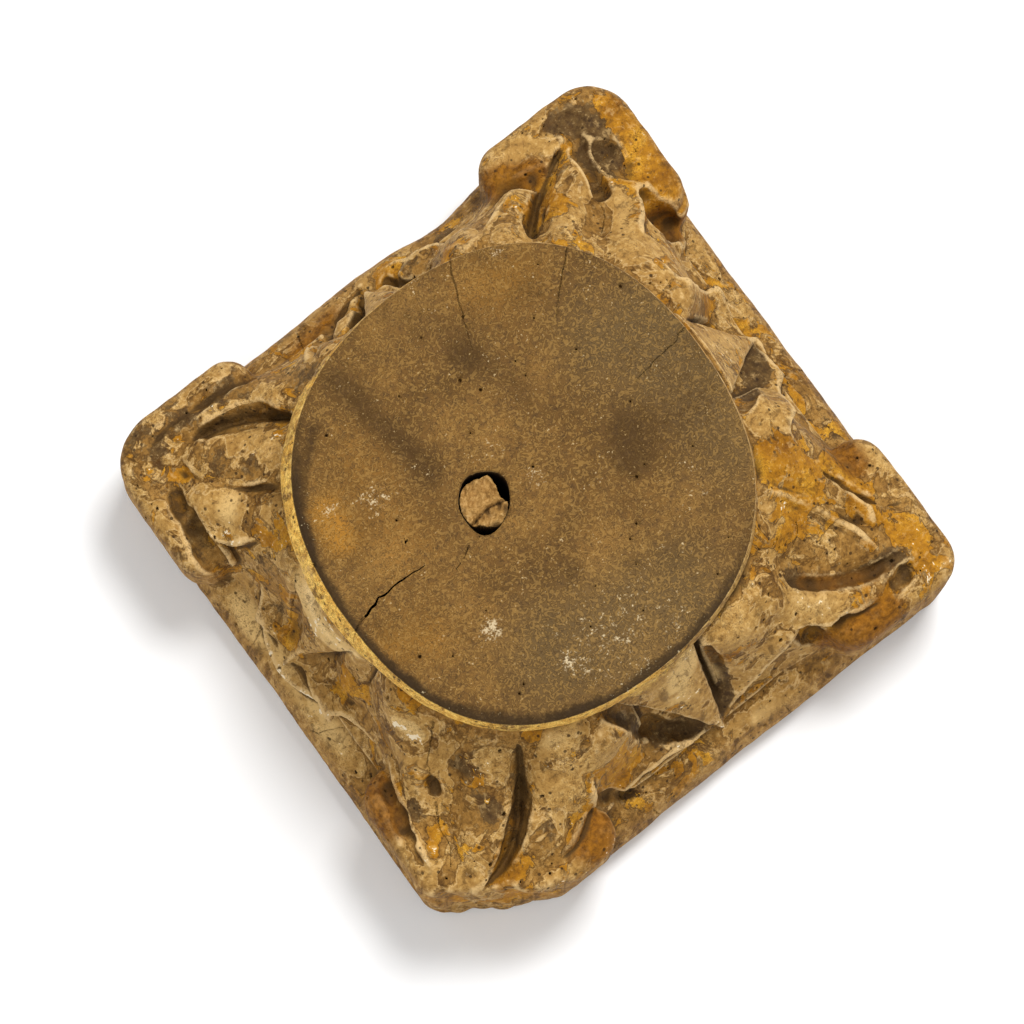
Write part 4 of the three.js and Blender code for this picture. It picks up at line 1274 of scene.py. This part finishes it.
def rim_line(m):
    """Share of the dark line along the lower left rim of the bearing face."""
    x = m.math("SUBTRACT", m.axis(0), MM * NECK_CENTRE[0])
    y = m.math("SUBTRACT", m.axis(1), MM * NECK_CENTRE[1])
    xx = m.times(x, x)
    yy = m.times(y, y)
    square = m.math("ADD", xx, yy)
    oval_share = m.math("DIVIDE", m.math("SUBTRACT", xx, yy), square)
    four = m.total((2, m.times(oval_share, oval_share)), (-1, 1))
    skewed = m.math("DIVIDE", m.times(x, y), square)
    away = m.times(m.math("SQRT", square), m.total((1, 1), (-2 * SKEW, skewed)))
    away = m.total((1, away), (MM * NECK_SQUARING, four), (MM * NECK_OVAL, oval_share))
    rim = m.step(m.total((1, away), (0.008, m.middle), (0.006, m.fine)), *RIM_REACH, 0, 0.85)
    return m.times(rim, m.step(m.total((-0.8, x), (-0.6, y)), -0.03, 0.04))


def lay_face(m):
    """The brown sawn bearing face with its stains and chalky marks."""
    broad = m.noise(26, 4, 0.62, 9.0)
    brown = m.total((0.5, broad), (0.25, m.middle), (0.25, m.fine))
    m.colour = m.shades(brown, (0.34, 70, 48, 18), (0.5, 103, 73, 33), (0.66, 144, 105, 50))
    m.over(m.times(m.step(m.amber, 0.05, 1.1), 0.75), (168, 116, 38))
    m.over(m.times(m.step(m.cold, 0.05, 1.2), 0.75), (96, 77, 46))
    m.over(m.step(m.swirl, 0.42, 0.64, 0, 0.5), (146, 112, 57))
    m.over(m.step(m.total((0.7, m.stain), (0.9, m.middle), (1.1, m.fine)), 1.1, 1.7, 0, 0.75), (62, 42, 16))
    m.over(m.times(m.hair, 0.62), (60, 40, 14))
    m.over(m.step(m.speck, 0.44, 0.34, 0, 0.5), (52, 34, 12))
    m.over(m.step(m.speck, 0.59, 0.69, 0, 0.35), (190, 156, 98))
    m.over(rim_line(m), (48, 34, 16))
    flecks = m.total((0.45, m.fine), (0.25, m.scales), (0.3, m.grit), (0.2, m.chalk))
    m.over(m.step(flecks, 0.6, 0.72, 0, 0.8), (206, 186, 148))


def painted_wood():
    """Flaking ochre over cream over wood on the carving, and the brown sawn bearing face."""
    m = BlockPaint()
    lay_face(m)
    face = m.colour
    lay_cream(m)
    lay_ochre(m)
    lay_wear(m)
    height = m.axis(2)
    top = m.step(height, *FACE_Z)
    m.over(top, face)
    m.over(m.step(height, *UNDERSIDE_Z), m.shades(m.fine, (0.3, 70, 48, 22), (0.7, 128, 96, 54)))
    # Painted shade: near black on the walls of the peg hole, above and around the peg.
    m.over(m.bore, (36, 22, 8))
    flaked = m.total((0.3, m.step(m.ground, 0.44, 0.48)), (0.35, m.step(m.coat, 0.57, 0.6)))
    carved = m.total((0.5, m.fine), (0.3, m.grit), (0.15, m.scales), (0.3, m.grain), (1, flaked))
    sawn = m.total((0.4, m.swirl), (0.3, m.grit))
    lift = m.node("ShaderNodeMix", {0: top, 2: carved, 3: sawn})
    return m.finish(m.step(m.fine, 0.2, 0.8, 0.66, 0.9), lift, BLOCK_BUMP)


def bare_wood():
    """Broken fibres of the peg."""
    m = Paint("bare_wood")
    strands = m.noise(520, 4, 0.65, 4.0, 0.8)
    broad = m.noise(150, 4, 0.6, 2.0)
    tone = m.total((0.6, strands), (0.4, broad))
    m.colour = m.shades(tone, (0.32, 104, 70, 30), (0.5, 156, 117, 62), (0.68, 198, 160, 102))
    # Painted shade: darker lower down from the torn top, in its split and down the sides in the hole.
    m.over(m.step(m.attribute("torn"), 0.1, 0.9, 0, 0.8), (60, 40, 18))
    return m.finish(m.step(strands, 0.2, 0.8, 0.65, 0.9), m.total((1, strands), (0.5, broad)), PEG_BUMP)


def peg_field():
    """The peg about its own axis, with a torn and split top."""
    axis = np.arange(-PEG_REACH, PEG_REACH, PEG_VOXEL)
    level = np.arange(PEG_FLOOR - 2, HEIGHT + 2, PEG_VOXEL)
    x, y, z = axis[:, None, None], axis[None, :, None], level[None, None, :]
    angle = np.arctan2(y, x)
    degrees = np.degrees(angle)
    table = np.array(PEG_OUTLINE, float)
    degrees = np.where(degrees < table[0, 0], degrees + 360, degrees)
    limit = np.minimum(np.interp(degrees, table[:, 0], table[:, 1]), oval(angle) - PEG_CLEARANCE)
    wall = np.hypot(x, y) - limit + 0.25 * np.abs(np.sin(9 * angle) * np.sin(14 * angle + 1))
    rng = np.random.default_rng(PEG_SEED)
    strand = np.zeros((axis.size, axis.size, 1))
    for _ in range(PEG_STRANDS):
        a = rng.uniform(0, 2 * np.pi)
        wave = rng.uniform(0.7, 2.6)
        strand += np.sin(wave * (x * np.cos(a) + y * np.sin(a)) + rng.uniform(0, 6.3)) / wave
    gap = y - along(PEG_SPLIT, np.clip(x, PEG_SPLIT[0][0], PEG_SPLIT[-1][0]))
    top = PEG_TOP + 1.3 * strand / PEG_STRANDS**0.5 - 0.05 * x
    top = top + np.where(gap < 0, -0.9, 0.5) - 2.2 * np.exp(-(gap / 0.55) ** 2)
    return np.maximum(np.maximum(wall, 0.7 * (z - top)), PEG_FLOOR - z).astype(np.float32)


def make_block():
    """The carved block, cut by its cracks and borings."""
    field = block_field()
    block = mesh_from_field(field, LOW, VOXEL, "carved_block_wood", BLOCK_TRIANGLES, 0.6)
    tools = [crack_tool(field, *crack, number) for number, crack in enumerate(CRACKS)]
    tools.append(worm_tool(block, field, tools))
    cut_with(block, joined(tools))
    store_marks(block, field)
    to_frame(block)
    block.data.materials.append(painted_wood())
    return block


def make_peg():
    """The stump in its hole."""
    low = (-PEG_REACH, -PEG_REACH, PEG_FLOOR - 2)
    peg = mesh_from_field(peg_field(), low, PEG_VOXEL, "peg_stump_wood", PEG_TRIANGLES, PEG_PLAIN)
    spots = points_of(peg)
    # How far below the torn top, for the painted shade in the split and in the hole.
    give(peg, "torn", np.clip((PEG_TOP - 0.4 - spots[:, 2]) / 2.5, 0, 1))
    peg.data.vertices.foreach_set("co", (spots + (*HOLE_CENTRE, 0)).astype(np.float32).ravel())
    to_frame(peg)
    peg.data.materials.append(bare_wood())
    return peg


def make_floor():
    """Plain pale floor."""
    mesh = bpy.data.meshes.new("floor")
    corners = [(FLOOR_HALF * a, FLOOR_HALF * b, 0) for a, b in ((-1, -1), (1, -1), (1, 1), (-1, 1))]
    mesh.from_pydata(corners, [], [range(4)])
    pale = bpy.data.materials.new("floor_pale")
    pale.use_nodes = True
    shader = pale.node_tree.nodes["Principled BSDF"]
    shader.inputs["Base Color"].default_value = FLOOR_COLOUR
    shader.inputs["Roughness"].default_value = FLOOR_ROUGHNESS
    mesh.materials.append(pale)
    return add_object("floor", mesh)


def lamp(name, light, right, level):
    """Square soft light that faces the object."""
    data = bpy.data.lights.new(name, "AREA")
    data.size = light["size"]
    data.energy = light["power"]
    obj = add_object(name, data)
    place = light["right"] * right + light["level"] * level + np.array([0, 0, light["height"]])
    obj.location = place
    obj.rotation_euler = (Vector(LIGHT_AIM) - Vector(place)).to_track_quat("-Z", "Y").to_euler()


def light_and_camera():
    """Even world light, two lamps and the camera of the photograph."""
    world = bpy.data.worlds.new("studio")
    world.use_nodes = True
    world.node_tree.nodes["Background"].inputs["Color"].default_value = (1, 1, 1, 1)
    world.node_tree.nodes["Background"].inputs["Strength"].default_value = WORLD_STRENGTH
    bpy.context.scene.world = world
    right = np.array([math.cos(CAMERA_AZIMUTH), math.sin(CAMERA_AZIMUTH), 0])
    level = np.array([-math.sin(CAMERA_AZIMUTH), math.cos(CAMERA_AZIMUTH), 0])
    upright = level * math.sin(CAMERA_ELEVATION) + np.array([0, 0, math.cos(CAMERA_ELEVATION)])
    look = level * math.cos(CAMERA_ELEVATION) - np.array([0, 0, math.sin(CAMERA_ELEVATION)])
    lamp("key", KEY_LIGHT, right, level)
    lamp("fill", FILL_LIGHT, right, level)
    data = bpy.data.cameras.new("camera")
    data.lens = CAMERA_LENS
    data.sensor_width = CAMERA_SENSOR
    camera = add_object("camera", data)
    eye = np.array([0, 0, AIM_HEIGHT]) + AIM_RIGHT * right + AIM_UP * upright - CAMERA_DISTANCE * look
    turn = Matrix((right, upright, -look)).transposed()
    camera.matrix_world = Matrix.Translation(tuple(eye)) @ turn.to_4x4()
    bpy.context.scene.camera = camera
    bpy.context.scene.view_settings.view_transform = "Standard"


block = make_block()
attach(block, "root")
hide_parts("carved_block")

peg = make_peg()
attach(peg, "root")
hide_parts("peg_stump")

floor = make_floor()
light_and_camera()
